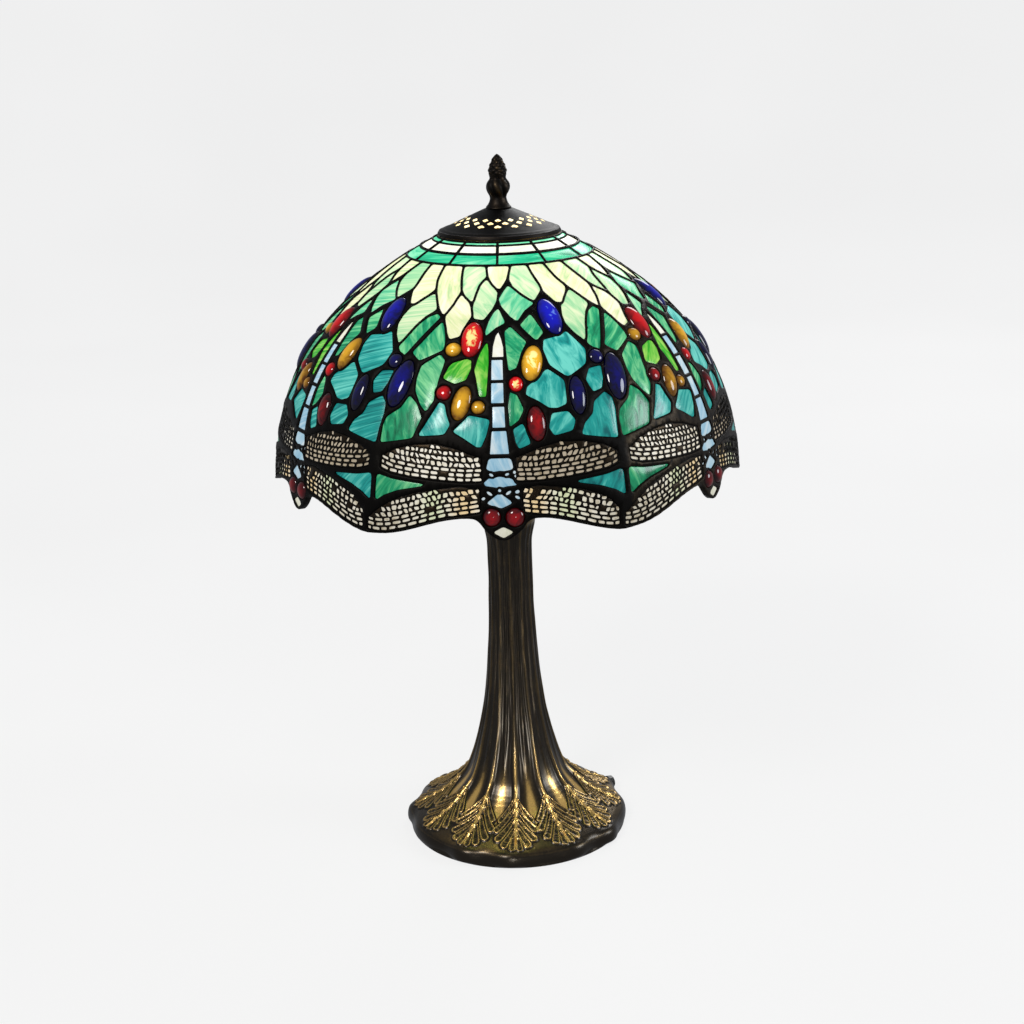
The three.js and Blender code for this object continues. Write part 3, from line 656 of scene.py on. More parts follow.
def pushed_apart(outlines, fixed):
    """Plan outlines moved so that at least LEAD_GAP of lead is left between any two."""
    names = list(outlines)
    centres = {n: outlines[n].mean(0) for n in names}
    for _ in range(PUSH_ROUNDS):
        fence = {n: np.concatenate([turned_by(refined(outlines[n], PUSH_FENCE_STEP), k)
                                    for k in NEIGHBOURS]) for n in names}
        middles = {n: np.repeat([turned_by(centres[n], k) for k in NEIGHBOURS],
                                len(fence[n]) // len(NEIGHBOURS), 0) for n in names}
        for name in names:
            if name in fixed:
                continue
            others = np.concatenate([fence[n] for n in names if n != name])
            homes = np.concatenate([middles[n] for n in names if n != name])
            p = outlines[name]
            offset = p[:, None] - others[None]
            distance = np.hypot(offset[..., 0], offset[..., 1])
            nearest = distance.argmin(1)
            q, home = others[nearest], homes[nearest]
            r = radius_at(p[:, 1])
            gap = distance[np.arange(len(p)), nearest] * r
            inside = np.hypot(*(p - home).T) < np.hypot(*(q - home).T)
            gap = np.where(inside, -gap, gap)
            away = centres[name] - q
            away /= np.hypot(away[:, 0], away[:, 1])[:, None]
            short = np.clip(LEAD_GAP - gap, 0, MOST_PUSH)
            outlines[name] = p + away * (short / r)[:, None] * PUSH_SHARE
    return outlines


def ordered(points):
    """The outline the way round that leaves its inside on the left."""
    x, y = points[:, 0], points[:, 1]
    area = (x * np.roll(y, -1) - np.roll(x, -1) * y).sum()
    return points if area > 0 else points[::-1]


class Sieve:
    """Keeps points of the plan that are far enough from the ones already kept, all round."""

    CELL = 0.04

    def __init__(self):
        self.cells = {}
        self.kept = []

    def offer(self, point, spacing):
        x = (point[0] + SECTOR / 2) % SECTOR - SECTOR / 2
        key = (math.floor(x / self.CELL), math.floor(point[1] / self.CELL))
        limit = (spacing / radius_at(point[1])) ** 2
        for i in NEIGHBOURS:
            for j in NEIGHBOURS:
                for px, py in self.cells.get((key[0] + i, key[1] + j), ()):
                    if (px - x) ** 2 + (py - point[1]) ** 2 < limit:
                        return
        self.kept.append((x, point[1]))
        for k in NEIGHBOURS:
            px = x + k * SECTOR
            cell = (math.floor(px / self.CELL), key[1])
            self.cells.setdefault(cell, []).append((px, point[1]))


def rim_line():
    """The shade's lower edge over one sector, as plan points, without its last point."""
    whole = plan([(a + k * 360 / SECTORS, s) for k in NEIGHBOURS for a, s in RIM[:-1]])
    line = smooth_line(whole, RIM_STEP)
    count = round(len(line) / len(NEIGHBOURS))
    at = np.radians(RIM[0][0]) + np.arange(count) * SECTOR / count
    return np.column_stack([at, np.interp(at, line[:, 0], line[:, 1])])


def smooth_line(points, spacing):
    """An open plan line through the points, rounded and evenly cut."""
    for _ in range(2):
        a, b = points[:-1], points[1:]
        cut = np.stack([a * 0.78 + b * 0.22, a * 0.22 + b * 0.78], 1).reshape(-1, 2)
        points = np.concatenate([points[:1], cut[1:-1], points[-1:]])
    length = np.hypot(*(np.diff(points, axis=0)).T) * radius_at(points[1:, 1])
    along = np.concatenate([[0], np.cumsum(length)])
    at = np.linspace(0, along[-1], max(2, round(along[-1] / spacing)) + 1)
    return np.column_stack([np.interp(at, along, points[:, i]) for i in (0, 1)])


def sector_outlines(draw):
    """Every outline of one sector in the plan: {name: points}, and the wings' cells."""
    outlines, fixed = {}, set()
    for name, (_, outline) in PIECES.items():
        points = plan(outline)
        if name.startswith(("band", "tail")):
            points = smoothed(refined(points, 3.0))
            fixed.add(name)
        else:
            points = grown(smoothed(points), LEAD_GROWTH)
        outlines[name] = points
    for name, (_, centre, half_width, half_height, lean, _) in JEWELS.items():
        outlines[name] = ellipse(centre, half_width, half_height, lean, 32)
        fixed.add(name)
    for number, (centre, half_width, half_height, lean) in enumerate(SPOTS):
        name = f"spot_{number}"
        outlines[name] = ellipse(centre, half_width, half_height, lean, 12)
        fixed.add(name)
    cells = {}
    for name, window in (("upper_right", UPPER_WING), ("lower_right", LOWER_RIGHT_WING),
                         ("upper_left", UPPER_WING), ("lower_left", LOWER_LEFT_WING)):
        left = name.endswith("left")
        closed = wing_window(window)
        name = f"wing_{name}"
        outlines[name] = smoothed(refined(plan(mirror(closed) if left else closed), 4.0))
        fixed.add(name)
        made = wing_cells(window, draw)
        cells[name] = [smoothed(c[::-1] * [-1, 1] if left else c, 0.28) for c in made]
    outlines = {n: ordered(refined(p, 2.0)) for n, p in outlines.items()}
    outlines = pushed_apart(outlines, fixed)
    jitter = np.random.default_rng(11)
    for name in outlines:
        p = ordered(refined(outlines[name], EDGE_STEP))
        shift = jitter.uniform(-JITTER, JITTER, p.shape)
        outlines[name] = p + shift / radius_at(p[:, 1])[:, None]
    cells = {n: [ordered(c) + jitter.uniform(-JITTER, JITTER, c.shape) / SHADE_RADIUS
                 for c in group] for n, group in cells.items()}
    return outlines, cells


def normals(points):
    """Unit vectors square to a closed plan outline, pointing away from its inside."""
    tangent = np.roll(points, -1, 0) - np.roll(points, 1, 0)
    normal = np.column_stack([tangent[:, 1], -tangent[:, 0]])
    return normal / np.hypot(normal[:, 0], normal[:, 1])[:, None]


def nearness(outlines, cells, top, rim):
    """A function that gives a plan point's distance in mm from the nearest outline."""
    fences = [refined(p, FENCE_STEP) for p in outlines.values()]
    fences += [refined(c, FENCE_STEP) for group in cells.values() for c in group]
    fences += [smooth_line(top, FENCE_STEP), smooth_line(rim, FENCE_STEP)]
    fence = np.concatenate([turned_by(f, k) for f in fences for k in NEIGHBOURS])
    tree = KDTree(len(fence))
    for i, (x, y) in enumerate(fence):
        tree.insert((x, y, 0), i)
    tree.balance()
    return lambda p: tree.find((p[0], p[1], 0))[2] * radius_at(p[1])


def inner_points(outlines, top, rim, distance):
    """The loose points of a sector: rows along the lead's edges, then a field of others."""
    jitter = np.random.default_rng(5)
    low, high = top[0, 1], plan([(0, LOWEST_S)])[0, 1]
    sieve = Sieve()
    for d in LEAD_ROWS:
        for points in outlines.values():
            for p in points + normals(points) * (d / radius_at(points[:, 1]))[:, None]:
                if distance(p) > d * 0.8 and p[1] > low:
                    sieve.offer(p, ROW_STEP)
        for points, way in ((top, 1), (rim, -1)):
            for p in points + np.array([0, way * d]) / radius_at(points[:, 1])[:, None]:
                if distance(p) > d * 0.8:
                    sieve.offer(p, ROW_STEP)
    y = low
    while y < high:
        step = FILIGREE_STEP / radius_at(y)
        n = round(SECTOR / step)
        for i in range(n):
            p = (-SECTOR / 2 + (i + jitter.uniform(-0.1, 0.1)) * SECTOR / n,
                 y + jitter.uniform(-0.1, 0.1) * step)
            d = distance(p)
            in_wings = np.interp(p[1], _y, _s) > WINGS_FROM_S
            if d > CLEARANCE:
                spacing = LEAD_STEP if d < NEAR_LEAD else GLASS_STEP
                sieve.offer(p, FINE_STEP if in_wings and d < NEAR_FILIGREE else spacing)
        y += step * 0.87
    return sieve.kept


def triangulated_sector(outlines, cells):
    """One sector cut into triangles: points (plan), triangles, each triangle's names (outline,
    cell), and each point's distance in mm from the nearest outline."""
    top_y = plan([(0, TOP_S)])[0, 1]
    n_top = round(SECTOR * radius_at(top_y) / RIM_STEP)
    top = np.column_stack([-SECTOR / 2 + np.arange(n_top) * SECTOR / n_top,
                           np.full(n_top, top_y)])
    rim = rim_line()
    distance = nearness(outlines, cells, top, rim)
    loose = inner_points(outlines, top, rim, distance)
    reach = SECTOR / 2 + OVERHANG
    shapes, labels = Outlines(), []

    def add_copy(outline, name, cell, k):
        moved = turned_by(outline, k)
        if abs(moved[:, 0]).min() < reach:
            shapes.add(moved)
            labels.append((name, cell, k))

    for k in NEIGHBOURS:
        for name, outline in outlines.items():
            add_copy(outline, name, None, k)
        for name, group in cells.items():
            for number, cell in enumerate(group):
                add_copy(cell, name, number, k)
    edges = [np.concatenate([turned_by(edge, k) for k in NEIGHBOURS]) for edge in (top, rim)]
    edge_top, edge_rim = (e[abs(e[:, 0]) < reach] for e in edges)
    add_copy(ordered(np.concatenate([edge_top, edge_rim[::-1]])), "lead", None, 0)
    for k in NEIGHBOURS:
        shapes.points.extend((x + k * SECTOR, y) for x, y in loose
                             if abs(x + k * SECTOR) < reach - 0.01)
    verts, tris, origins = shapes.cut()
    kept, names = [], []
    for tri, origin in zip(tris, origins):
        found = [labels[o] for o in origin if labels[o][0] != "lead"]
        if found:
            name, _, k = found[0]
            mine = k == 0
        else:
            name = "lead"
            mine = origin and -SECTOR / 2 <= verts[list(tri), 0].mean() < SECTOR / 2
        if mine:
            kept.append(tri)
            names.append((name, next((c for _, c, _ in found if c is not None), None)))
    tris = upward(verts, np.array(kept))
    depth = np.zeros(len(verts))
    for i in np.unique(tris):
        depth[i] = distance(verts[i])
    return verts, tris, names, depth


def light_from_bulb(points):
    """How brightly the bulb lights glass at points in metres: fully at FULL_LIGHT mm, then
    fading a little slower than its distance grows."""
    d = np.linalg.norm(points / MM - BULB_CENTRE, axis=1)
    return LIGHT * (FULL_LIGHT / d) ** 0.95


def streak_vector(plan_points, k, turn, seed):
    """Coordinates in metres that run along the streaks of a tile."""
    r = radius_at(plan_points[:, 1])
    u, v = plan_points[:, 0] * r * MM, plan_points[:, 1] * r * MM
    c, s = math.cos(turn), math.sin(turn)
    return np.column_stack([u * c + v * s, v * c - u * s, np.full(len(u), seed + 3.7 * k)])


class Gathered:
    """Closed parts gathered into one piece, with their materials and attributes."""

    def __init__(self):
        self.points, self.faces, self.picks, self.materials = [], [], [], []
        self.values = {}
        self.count = 0

    def add(self, points, faces, material, **values):
        if material not in self.materials:
            self.materials.append(material)
        self.points.append(points)
        self.faces += [tuple(i + self.count for i in f) for f in faces]
        self.picks += [self.materials.index(material)] * len(faces)
        for key, value in values.items():
            self.values.setdefault(key, []).append(value)
        self.count += len(points)

    def make(self, name, stands_for, slot, sharp=38):
        values = {k: np.concatenate(v) for k, v in self.values.items()}
        make_piece(name, np.concatenate(self.points), self.faces,
                   [M[m] for m in self.materials], "shade", stands_for, self.picks, values,
                   sharp)


JEWEL_RINGS = (0.2, 0.38, 0.54, 0.68, 0.8, 0.9, 0.96, 0.995, 1.0)
JEWEL_SIDES = 40
JEWEL_SEAT, JEWEL_BACK = 0.1, 2.7  # depths in mm of a jewel's edge and of its flat back


def cabochon(k, centre, half_width, half_height, lean):
    """A jewel of sector k: its points, faces, and how far out from its middle each point is."""
    height = min(3.2, 0.5 * min(half_width, half_height))
    middle = turned_by(plan([centre]), k)
    points, outness = [on_shade(middle, JEWEL_SEAT - height)], [0.0]
    for ring in JEWEL_RINGS:
        dome = height * (1 - ring ** 2.4) ** 0.62
        outline = turned_by(ellipse(centre, half_width * ring, half_height * ring, lean,
                                    JEWEL_SIDES), k)
        points.append(on_shade(outline, JEWEL_SEAT - dome))
        outness += [ring] * JEWEL_SIDES
    points += [on_shade(outline, JEWEL_BACK), on_shade(middle, JEWEL_BACK)]
    outness += [1.0] * (JEWEL_SIDES + 1)
    points = np.concatenate(points)
    rows = len(JEWEL_RINGS) + 1
    faces = [tuple(i + 1 for i in f) for f in ring_faces(rows, JEWEL_SIDES)]
    last = 1 + (rows - 1) * JEWEL_SIDES
    for i in range(JEWEL_SIDES):
        after = (i + 1) % JEWEL_SIDES
        faces += [(0, 1 + after, 1 + i), (last + i, last + after, len(points) - 1)]
    return points, faces, np.array(outness)


# a sector's pieces of tiles and jewels: the CAD node each one stands for, its slot, and the
# degrees past which its edges are crisp
SECTOR_PIECES = {
    "petals": ("field_glass", "cream_glass", 38),
    "green_tiles": ("field_glass", "green_glass", 38),
    "teal_tiles": ("field_glass", "teal_glass", 38),
    "jewels": ("field_glass", "blue_glass", 60),
    "dragonfly_glass": ("dragonfly_body", "blue_glass", 38),
    "corner_tiles": ("corner_glass", "teal_glass", 38),
}
# which piece a tile goes into, by its name where it is here, or else by its glass
PIECE_OF_TILE = {"tail_tip": "dragonfly_glass", "beak": "dragonfly_glass",
                 "corner_left": "corner_tiles", "corner_right": "corner_tiles"}
PIECE_OF_GLASS = {"cream": "petals", "pale": "petals", "mint": "petals", "green": "green_tiles",
                  "lime": "green_tiles", "teal": "teal_tiles", "sky": "dragonfly_glass"}
BANDS = {"cream": ("top_band_upper", "cream_glass"), "top": ("top_band_upper", "green_glass"),
         "green": ("top_band_lower", "green_glass")}
TONES = {"band_top_left": 0.1, "band_top_right": 0.1, "petal_5": 0.03, "field_7": -0.06,
         "field_10": -0.08, "field_11": -0.06, "field_14": 0.03, "field_18": -0.06,
         "corner_right": -0.1, "corner_left": -0.08, "tail_1": 0.02, "tail_4": -0.04}
SPOT_TONE = 0.2
TONE_SPREAD = 0.05
SIDE_JEWEL_LIGHT = 0.6  # the jewels of the other sectors gather less light than the front's
WING_LIGHT = 1.15

# depths in mm from the shade's surface, less than 0 where something stands proud of it
TILE_EDGE, TILE_SWELL, TILE_SWELL_WIDTH, TILE_BACK = 0.4, 0.45, 5.0, GLASS - 0.35
PANE_TOP, PANE_BACK = 0.62, GLASS - 0.3
PANE_EDGE_STEP, PANE_STEP = 2.0, 3.0
FILIGREE_EDGE, FILIGREE_RISE, FILIGREE_ROUNDING, FILIGREE_BACK = -0.1, 0.35, 0.45, 0.5
BEAD_HALF_WIDTH, BEAD_FOOT = 1.1, 0.12
BEAD_OUTSIDE, BEAD_INSIDE, BEAD_WOBBLE = 0.85, 0.6, 0.06


def build_lead(verts, lead, depth):
    """The lead: beads outside and inside, all round the shade in one closed network, its
    patina rubbed in patches that don't follow the beads."""
    bead = np.sqrt(1 - (1 - np.clip(depth, 0, BEAD_HALF_WIDTH) / BEAD_HALF_WIDTH) ** 2)
    wobble = np.random.default_rng(3).uniform(-BEAD_WOBBLE, BEAD_WOBBLE, len(verts)) * bead
    used = np.unique(lead)
    index = np.full(len(verts), -1)
    index[used] = np.arange(len(used))
    rounds = [turned_by(verts[used], k) for k in range(SECTORS)]
    faces = np.concatenate([index[lead] + k * len(used) for k in range(SECTORS)])
    flat = np.concatenate(rounds)
    unit = np.column_stack([np.cos(flat[:, 0]), np.sin(flat[:, 0]), flat[:, 1]])
    key = np.round(unit / 1e-5).astype(np.int64)
    _, first, merged = np.unique(key, axis=0, return_index=True, return_inverse=True)
    outside = np.tile((BEAD_FOOT - BEAD_OUTSIDE * bead - wobble)[used], SECTORS)
    inside = np.tile((GLASS - BEAD_FOOT + BEAD_INSIDE * bead)[used], SECTORS)
    outer, inner = (on_shade(flat, d)[first] for d in (outside, inside))
    points, faces, kept = plate(merged.ravel()[faces], outer, inner)
    rub_and_highlight = np.tile(bead, SECTORS)[first][kept]
    make_piece("lead_network", points, faces, [M["lead"]], "shade", (),
               values={"rub_and_highlight": np.concatenate([rub_and_highlight * 0.32, rub_and_highlight * 0.2])}, sharp=60)


def gather_tiles(k, pieces, bands, verts, part_of, depth, draw):
    """Puts sector k's tiles into its pieces, and the ones above them into the two bands'."""
    glasses = {n: glass for n, (glass, _) in PIECES.items()}
    glasses |= {f"spot_{i}": "sky" for i in range(len(SPOTS))}
    spread = np.clip(depth / TILE_SWELL_WIDTH, 0, 1)
    swell = TILE_EDGE - TILE_SWELL * np.sqrt(1 - (1 - spread) ** 2)
    for name, glass in glasses.items():
        moved = turned_by(verts, k + 1 if name == "corner_left" else k)
        points, faces, kept = plate(part_of(name), on_shade(moved, swell),
                                    on_shade(moved, TILE_BACK))
        turn = draw.uniform(-0.5, 0.5) + (math.pi / 2 if name.startswith("band") else 0)
        streak = streak_vector(moved[kept], k, turn, draw.uniform(0, 50))
        tone = SPOT_TONE if name.startswith("spot") else TONES.get(name, 0)
        tone += draw.uniform(-TONE_SPREAD, TONE_SPREAD)
        if name.startswith("band"):
            target = bands[name.split("_")[1]]
        else:
            target = pieces[PIECE_OF_TILE.get(name) or PIECE_OF_GLASS[glass]]
        target.add(points, faces, glass, streak=np.tile(streak, (2, 1)),
                   glow=light_from_bulb(points), tone=np.full(len(points), tone))


def gather_jewels(k, jewels):
    """Puts sector k's twelve jewels and its dragonfly's two eyes into one piece."""
    for glass, centre, half_width, half_height, lean, lit in JEWELS.values():
        points, faces, outness = cabochon(k, centre, half_width, half_height, lean)
        lit *= 1.0 if k == 0 else SIDE_JEWEL_LIGHT
        # middle brighter and edge darker: painted light and shade of the light it gathers from
        # behind
        tone = 0.3 * lit - 0.12 + (0.2 + 0.28 * lit) * (1 - outness ** 2)
        glow = (0.06 + lit) * (1.12 - 0.85 * outness ** 2.2)
        jewels.add(points, faces, glass, tone=tone, glow=glow)


def wing_pane(outline, k):
    """The pane of glass under a wing's filigree, and its plan points."""
    shape = Outlines()
    shape.add(refined(outline, PANE_EDGE_STEP))
    lows, highs = outline.min(0), outline.max(0)
    step = PANE_STEP / radius_at(highs[1])
    for y in np.arange(lows[1], highs[1], step):
        for x in np.arange(lows[0], highs[0], step):
            shape.points.append((x + 0.0007 * math.sin(91 * y), y))
    verts, tris, inside = shape.cut()
    verts = turned_by(verts, k)
    tris = upward(verts, np.array([t for t, i in zip(tris, inside) if i]))
    points, faces, kept = plate(tris, on_shade(verts, PANE_TOP), on_shade(verts, PANE_BACK))
    return points, faces, verts[kept]


def wing_tints_and_shade(plan_points, level, side, k):
    """The wing glass's tone and its tint, which all sectors share: amber by the body of a lower
    wing, greenish half way out, browner to the tip, and brown in an upper right wing, where the
    dimmer brown is painted shade."""
    out = abs(np.degrees(plan_points[:, 0] - k * SECTOR))
    tone = 0.12 - 0.12 * np.clip((out - 16) / 12, 0, 1)
    tint_and_shade = np.ones((len(out), 3))
    if level == "lower":
        amber = np.exp(-((out - 8) / 2.6) ** 2)[:, None]
        green = np.exp(-((out - 15) / 2.6) ** 2)[:, None]
        tint_and_shade = tint_and_shade * (1 - amber * [0.0, 0.22, 0.55]) * (1 - green * [0.2, 0.06, 0.32])
    # every upper right wing dimmer and browner: painted shade
    elif side == "right":
        tint_and_shade = tint_and_shade * [0.5, 0.44, 0.37]
    return tone, tint_and_shade * (1 - 0.22 * np.clip((out - 18) / 10, 0, 1))[:, None]


def build_wings(k, verts, part_of, depth, outlines, draw):
    """Sector k's four wings: panes of glass, and the filigree soldered on them."""
    filigree = Gathered()
    moved = turned_by(verts, k)
    ridge = np.clip(depth / FILIGREE_ROUNDING, 0, 1)
    top = FILIGREE_EDGE - FILIGREE_RISE * ridge
    for side in ("left", "right"):
        panes = Gathered()
        for level in ("upper", "lower"):
            name = f"wing_{level}_{side}"
            points, faces, kept = plate(part_of(name), on_shade(moved, top),
                                        on_shade(moved, FILIGREE_BACK))
            rub_and_highlight = np.concatenate([ridge[kept] * 0.38, ridge[kept] * 0.1])
            filigree.add(points, faces, "filigree", rub_and_highlight=rub_and_highlight)
            points, faces, plan_points = wing_pane(outlines[name], k)
            tone, tint_and_shade = wing_tints_and_shade(plan_points, level, side, k)
            streak = streak_vector(plan_points, k, 0.2, draw.uniform(0, 50))
            glow = light_from_bulb(points)[:, None] * np.tile(tint_and_shade, (2, 1)) * WING_LIGHT
            panes.add(points, faces, "wing", streak=np.tile(streak, (2, 1)), glow=glow,
                      tone=np.tile(tone, 2))
        panes.make(f"wing_panes_{side}_{k + 1}", [f"wings_{side}_{k + 1}"], "wing_glass")
    filigree.make(f"wing_filigree_{k + 1}", [f"wings_left_{k + 1}", f"wings_right_{k + 1}"],
                  "bronze", 50)


def build_shade():
    draw = random.Random(48)
    outlines, cells = sector_outlines(draw)
    verts, tris, names, depth = triangulated_sector(outlines, cells)
    name_of = np.array([n for n, _ in names])
    in_cell = np.array([c is not None for _, c in names])
    part_of = lambda name: tris[(name_of == name) & ~in_cell]
    build_lead(verts, part_of("lead"), depth)
    bands = {band: Gathered() for band in BANDS}
    for k in range(SECTORS):
        pieces = {name: Gathered() for name in SECTOR_PIECES}
        gather_tiles(k, pieces, bands, verts, part_of, depth, draw)
        gather_jewels(k, pieces["jewels"])
        for name, (node, slot, sharp) in SECTOR_PIECES.items():
            pieces[name].make(f"{name}_{k + 1}", [f"{node}_{k + 1}"], slot, sharp)
        build_wings(k, verts, part_of, depth, outlines, draw)
    for band, (node, slot) in BANDS.items():
        bands[band].make(f"band_{band}_tiles", [node], slot)


# ---------------------------------------------------------------------------------------------
# The pierced cap and the finial

CAP_PROFILE = [(3.4, 428.2), (9, 428.1), (14.5, 425.7), (23, 421.8), (32.5, 417.6), (38.6, 414.9),
               (39.5, 413.5)]
CAP_RADIUS, CAP_BORE, CAP_WALL, CAP_UNDERSIDE_Z = 39.5, 3.4, 1.3, 413.2
HOLE_ROWS = [(27.6, 5.0, 3.9), (24.0, 4.6, 3.7), (20.6, 4.2, 3.5)]  # radius, width, height
HOLES_ROUND = 16
CAP_BAND_R, CAP_RIM_R = 35.8, 38.8  # the middles of the raised band and of the rolled rim
CAP_ROUNDS = (4.4, 39.3, 0.9)  # the radii of the rounds of points between the holes
CAP_POINT_STEP, HOLE_CLEARANCE = 1.1, 0.45


def cap_height(r):
    p = np.array(CAP_PROFILE)
    return np.interp(r, p[:, 0], p[:, 1])


def build_cap():
    """The cap, pierced with three staggered rows of diamonds, worked in plan view."""
    shapes = Outlines()

    def ring(r, n, turn=0.0):
        a = np.arange(n) * math.tau / n + turn
        return np.column_stack([r * np.cos(a), r * np.sin(a)])

    shapes.add(ring(CAP_RADIUS, 200))
    shapes.add(ring(CAP_BORE, 36))
    holes = []
    for row, (r, width, height) in enumerate(HOLE_ROWS):
        for i in range(HOLES_ROUND):
            a = (i + 0.5 * (row % 2)) * math.tau / HOLES_ROUND
            out = np.array([math.cos(a), math.sin(a)])
            across = np.array([-out[1], out[0]])
            diamond = np.array([out * (r + height / 2), out * r + across * width / 2,
                                out * (r - height / 2), out * r - across * width / 2])
            ahead, behind = np.roll(diamond, -1, 0), np.roll(diamond, 1, 0)
            lobes = [diamond * 0.8 + behind * 0.2, diamond * 0.92 + (ahead + behind) * 0.04,
                     diamond * 0.8 + ahead * 0.2]
            holes.append(np.stack(lobes, 1).reshape(-1, 2))
            shapes.add(holes[-1])
    fence = np.concatenate(holes)
    jitter = np.random.default_rng(8)
    for r in np.arange(*CAP_ROUNDS):
        for p in ring(r, round(math.tau * r / CAP_POINT_STEP), jitter.uniform(0, 1)):
            if np.hypot(*(fence - p).T).min() > HOLE_CLEARANCE:
                shapes.points.append(tuple(p))
    verts, tris, origins = shapes.cut(1e-6)
    tris = np.array([t for t, o in zip(tris, origins) if list(o) == [0]])
    r = np.hypot(verts[:, 0], verts[:, 1])
    gap = np.full(len(verts), 9.0)
    for i in np.unique(tris):
        gap[i] = np.hypot(*(fence - verts[i]).T).min()
    relief = 0.4 * np.clip(1 - abs(r - CAP_BAND_R) / 0.8, 0, 1)
    relief += 0.22 * np.clip(1 - abs(gap - 0.8) / 0.6, 0, 1)
    relief += 0.5 * np.clip(1 - abs(r - CAP_RIM_R) / 0.9, 0, 1)
    outer = np.column_stack([verts, cap_height(r) + relief]) * MM
    inner = np.column_stack([verts, np.maximum(cap_height(r) - CAP_WALL, CAP_UNDERSIDE_Z)]) * MM
    points, faces, kept = plate(tris, outer, inner)
    rub_and_highlight = np.concatenate([0.02 + relief[kept] * 0.5, np.full(len(kept), 0.2)])
    away = np.hypot(points[:, 0], points[:, 1]) / MM
    # the underside and the holes' walls inside the rim glow in a lit brass colour: painted light
    # from the bulb
    lit = [i >= len(tris) and 9 < away[f[0]] < CAP_RADIUS - 0.3 for i, f in enumerate(faces)]
    make_piece("pierced_cap", points, faces, [M["cap"], M["painted_cap_glow"]], "shade", ["heat_cap"],
               picks=lit, values={"rub_and_highlight": rub_and_highlight})


FINIAL = [(3.4, 428.6), (8.0, 428.6), (8.2, 429.0), (7.2, 430.0), (6.2, 431.4), (5.5, 433.2),
          (5.2, 435.0), (5.6, 436.6), (6.6, 438.2), (7.3, 440.0), (7.5, 441.8), (7.2, 443.6),
          (6.3, 445.2), (5.3, 446.4), (5.1, 447.4), (5.5, 449.0), (5.8, 450.8), (5.6, 452.8),
          (4.9, 455.0), (4.0, 457.0), (3.1, 459.0), (2.1, 460.6), (1.0, 461.6), (0.15, 462.0)]
FINIAL_BORE = [(0.1, 447.4), (3.35, 447.0)]


def build_finial():
    outside = fine_profile(FINIAL, 0.3)
    z = outside[:, 1]
    lower = np.clip((z - 434) / 3, 0, 1) * np.clip((448.2 - z) / 2, 0, 1)
    upper = np.clip((z - 448.8) / 1.5, 0, 1) * np.clip((461.5 - z) / 3, 0, 1)

    def leaves(a, row):
        zz = z[np.minimum(row, len(z) - 1)]
        low = lower[np.minimum(row, len(z) - 1)]
        high = upper[np.minimum(row, len(z) - 1)]
        swirl = abs(np.cos(3.5 * a + (zz - 441) * 0.16)) ** 0.6 - 0.75
        crossed = np.cos(3 * a + zz * 0.9) * np.cos(3 * a - zz * 0.9)
        bud = (abs(crossed) ** 0.5 - 0.5) * np.where(zz > 449, 1, 0)
        inside = row < len(z)
        return (swirl * 1.15 * low + bud * 0.8 * high) * inside

    def rub_and_highlight(a, row):
        return 0.18 + 0.32 * leaves(a, row) + 0.1 * np.sin(5 * a + row * 0.13)

    profile = np.concatenate([outside, FINIAL_BORE])
    turned("leaf_finial", profile, M["cap"], "finial", ["finial"], 96, leaves, {"rub_and_highlight": rub_and_highlight},
           closed=True, sharp=50)


def fine_profile(profile, spacing):
    """The profile rounded and evenly cut."""
    points = np.array(profile, float)
    for _ in range(2):
        a, b = points[:-1], points[1:]
        cut = np.stack([a * 0.75 + b * 0.25, a * 0.25 + b * 0.75], 1).reshape(-1, 2)
        points = np.concatenate([points[:1], cut[1:-1], points[-1:]])
    length = np.concatenate([[0], np.cumsum(np.hypot(*np.diff(points, axis=0).T))])
    at = np.linspace(0, length[-1], round(length[-1] / spacing) + 1)
    return np.column_stack([np.interp(at, length, points[:, i]) for i in (0, 1)])


# ---------------------------------------------------------------------------------------------
# The cast base: a ribbed trunk spreading into a ring of twelve leaves

BASE_OUTSIDE = [(17.0, 229.0), (18.3, 227.5), (18.5, 226.0), (17.5, 219.0), (15.6, 211.0),
                (14.9, 205.0), (14.8, 180.0), (15.4, 150.0), (17.2, 120.0), (20.2, 90.0),
                (25.2, 67.0), (30.2, 50.0), (36.4, 36.0), (47.0, 25.0), (60.0, 17.0),
                (72.0, 11.5), (75.0, 9.0), (76.0, 4.0), (75.0, 0.5)]
BASE_INSIDE = [(70.5, 0.5), (70.5, 7.0), (67.5, 9.6), (57.0, 13.6), (43.0, 21.0), (32.0, 31.0),
               (25.5, 46.0), (20.5, 64.0), (16.0, 89.0), (13.6, 120.0), (11.6, 150.0),
               (11.0, 180.0), (11.0, 229.0)]
LEAVES = 12
LEAF_PITCH = math.tau / LEAVES
LEAF_TOP_S = 119.0
BASE_SIDES = 864
BASE_TURN = 2.39996  # radians from one rib's wander to the next one's, so that none repeats
# a leaf's fingers, mirrored about its midrib: where each starts and ends as (across, down), and
# its radius at each end, all in mm
FINGERS = [((2.2, 2.5), (12.2, 17.0), 1.3, 2.9), ((2.3, 9.5), (13.4, 24.6), 1.5, 3.2),
           ((2.2, 17.0), (11.2, 31.8), 1.6, 3.2), ((2.0, 24.5), (7.2, 36.9), 1.7, 3.0),
           ((1.5, 32.0), (2.4, 39.6), 1.6, 2.5)]


def step_up(x, low, high):
    t = np.clip((x - low) / (high - low), 0, 1)
    return t * t * (3 - 2 * t)


def nearest_finger(across, down):
    """How far points of a leaf are from the nearest finger's axis, as a share of its radius
    there, and how far along that finger they are, in mm."""
    away = np.full(down.shape, 9.0)
    nearest = np.zeros(down.shape)
    for start, end, narrow, broad in FINGERS:
        length = np.hypot(*np.subtract(end, start))
        ax, at = (end[0] - start[0]) / length, (end[1] - start[1]) / length
        px, pt = across - start[0], down - start[1]
        along = np.clip(px * ax + pt * at, 0, length)
        radius = narrow + (broad - narrow) * along / length
        this = np.hypot(px - along * ax, pt - along * at) / radius
        nearest = np.where(this < away, along, nearest)
        away = np.minimum(away, this)
    return away, nearest


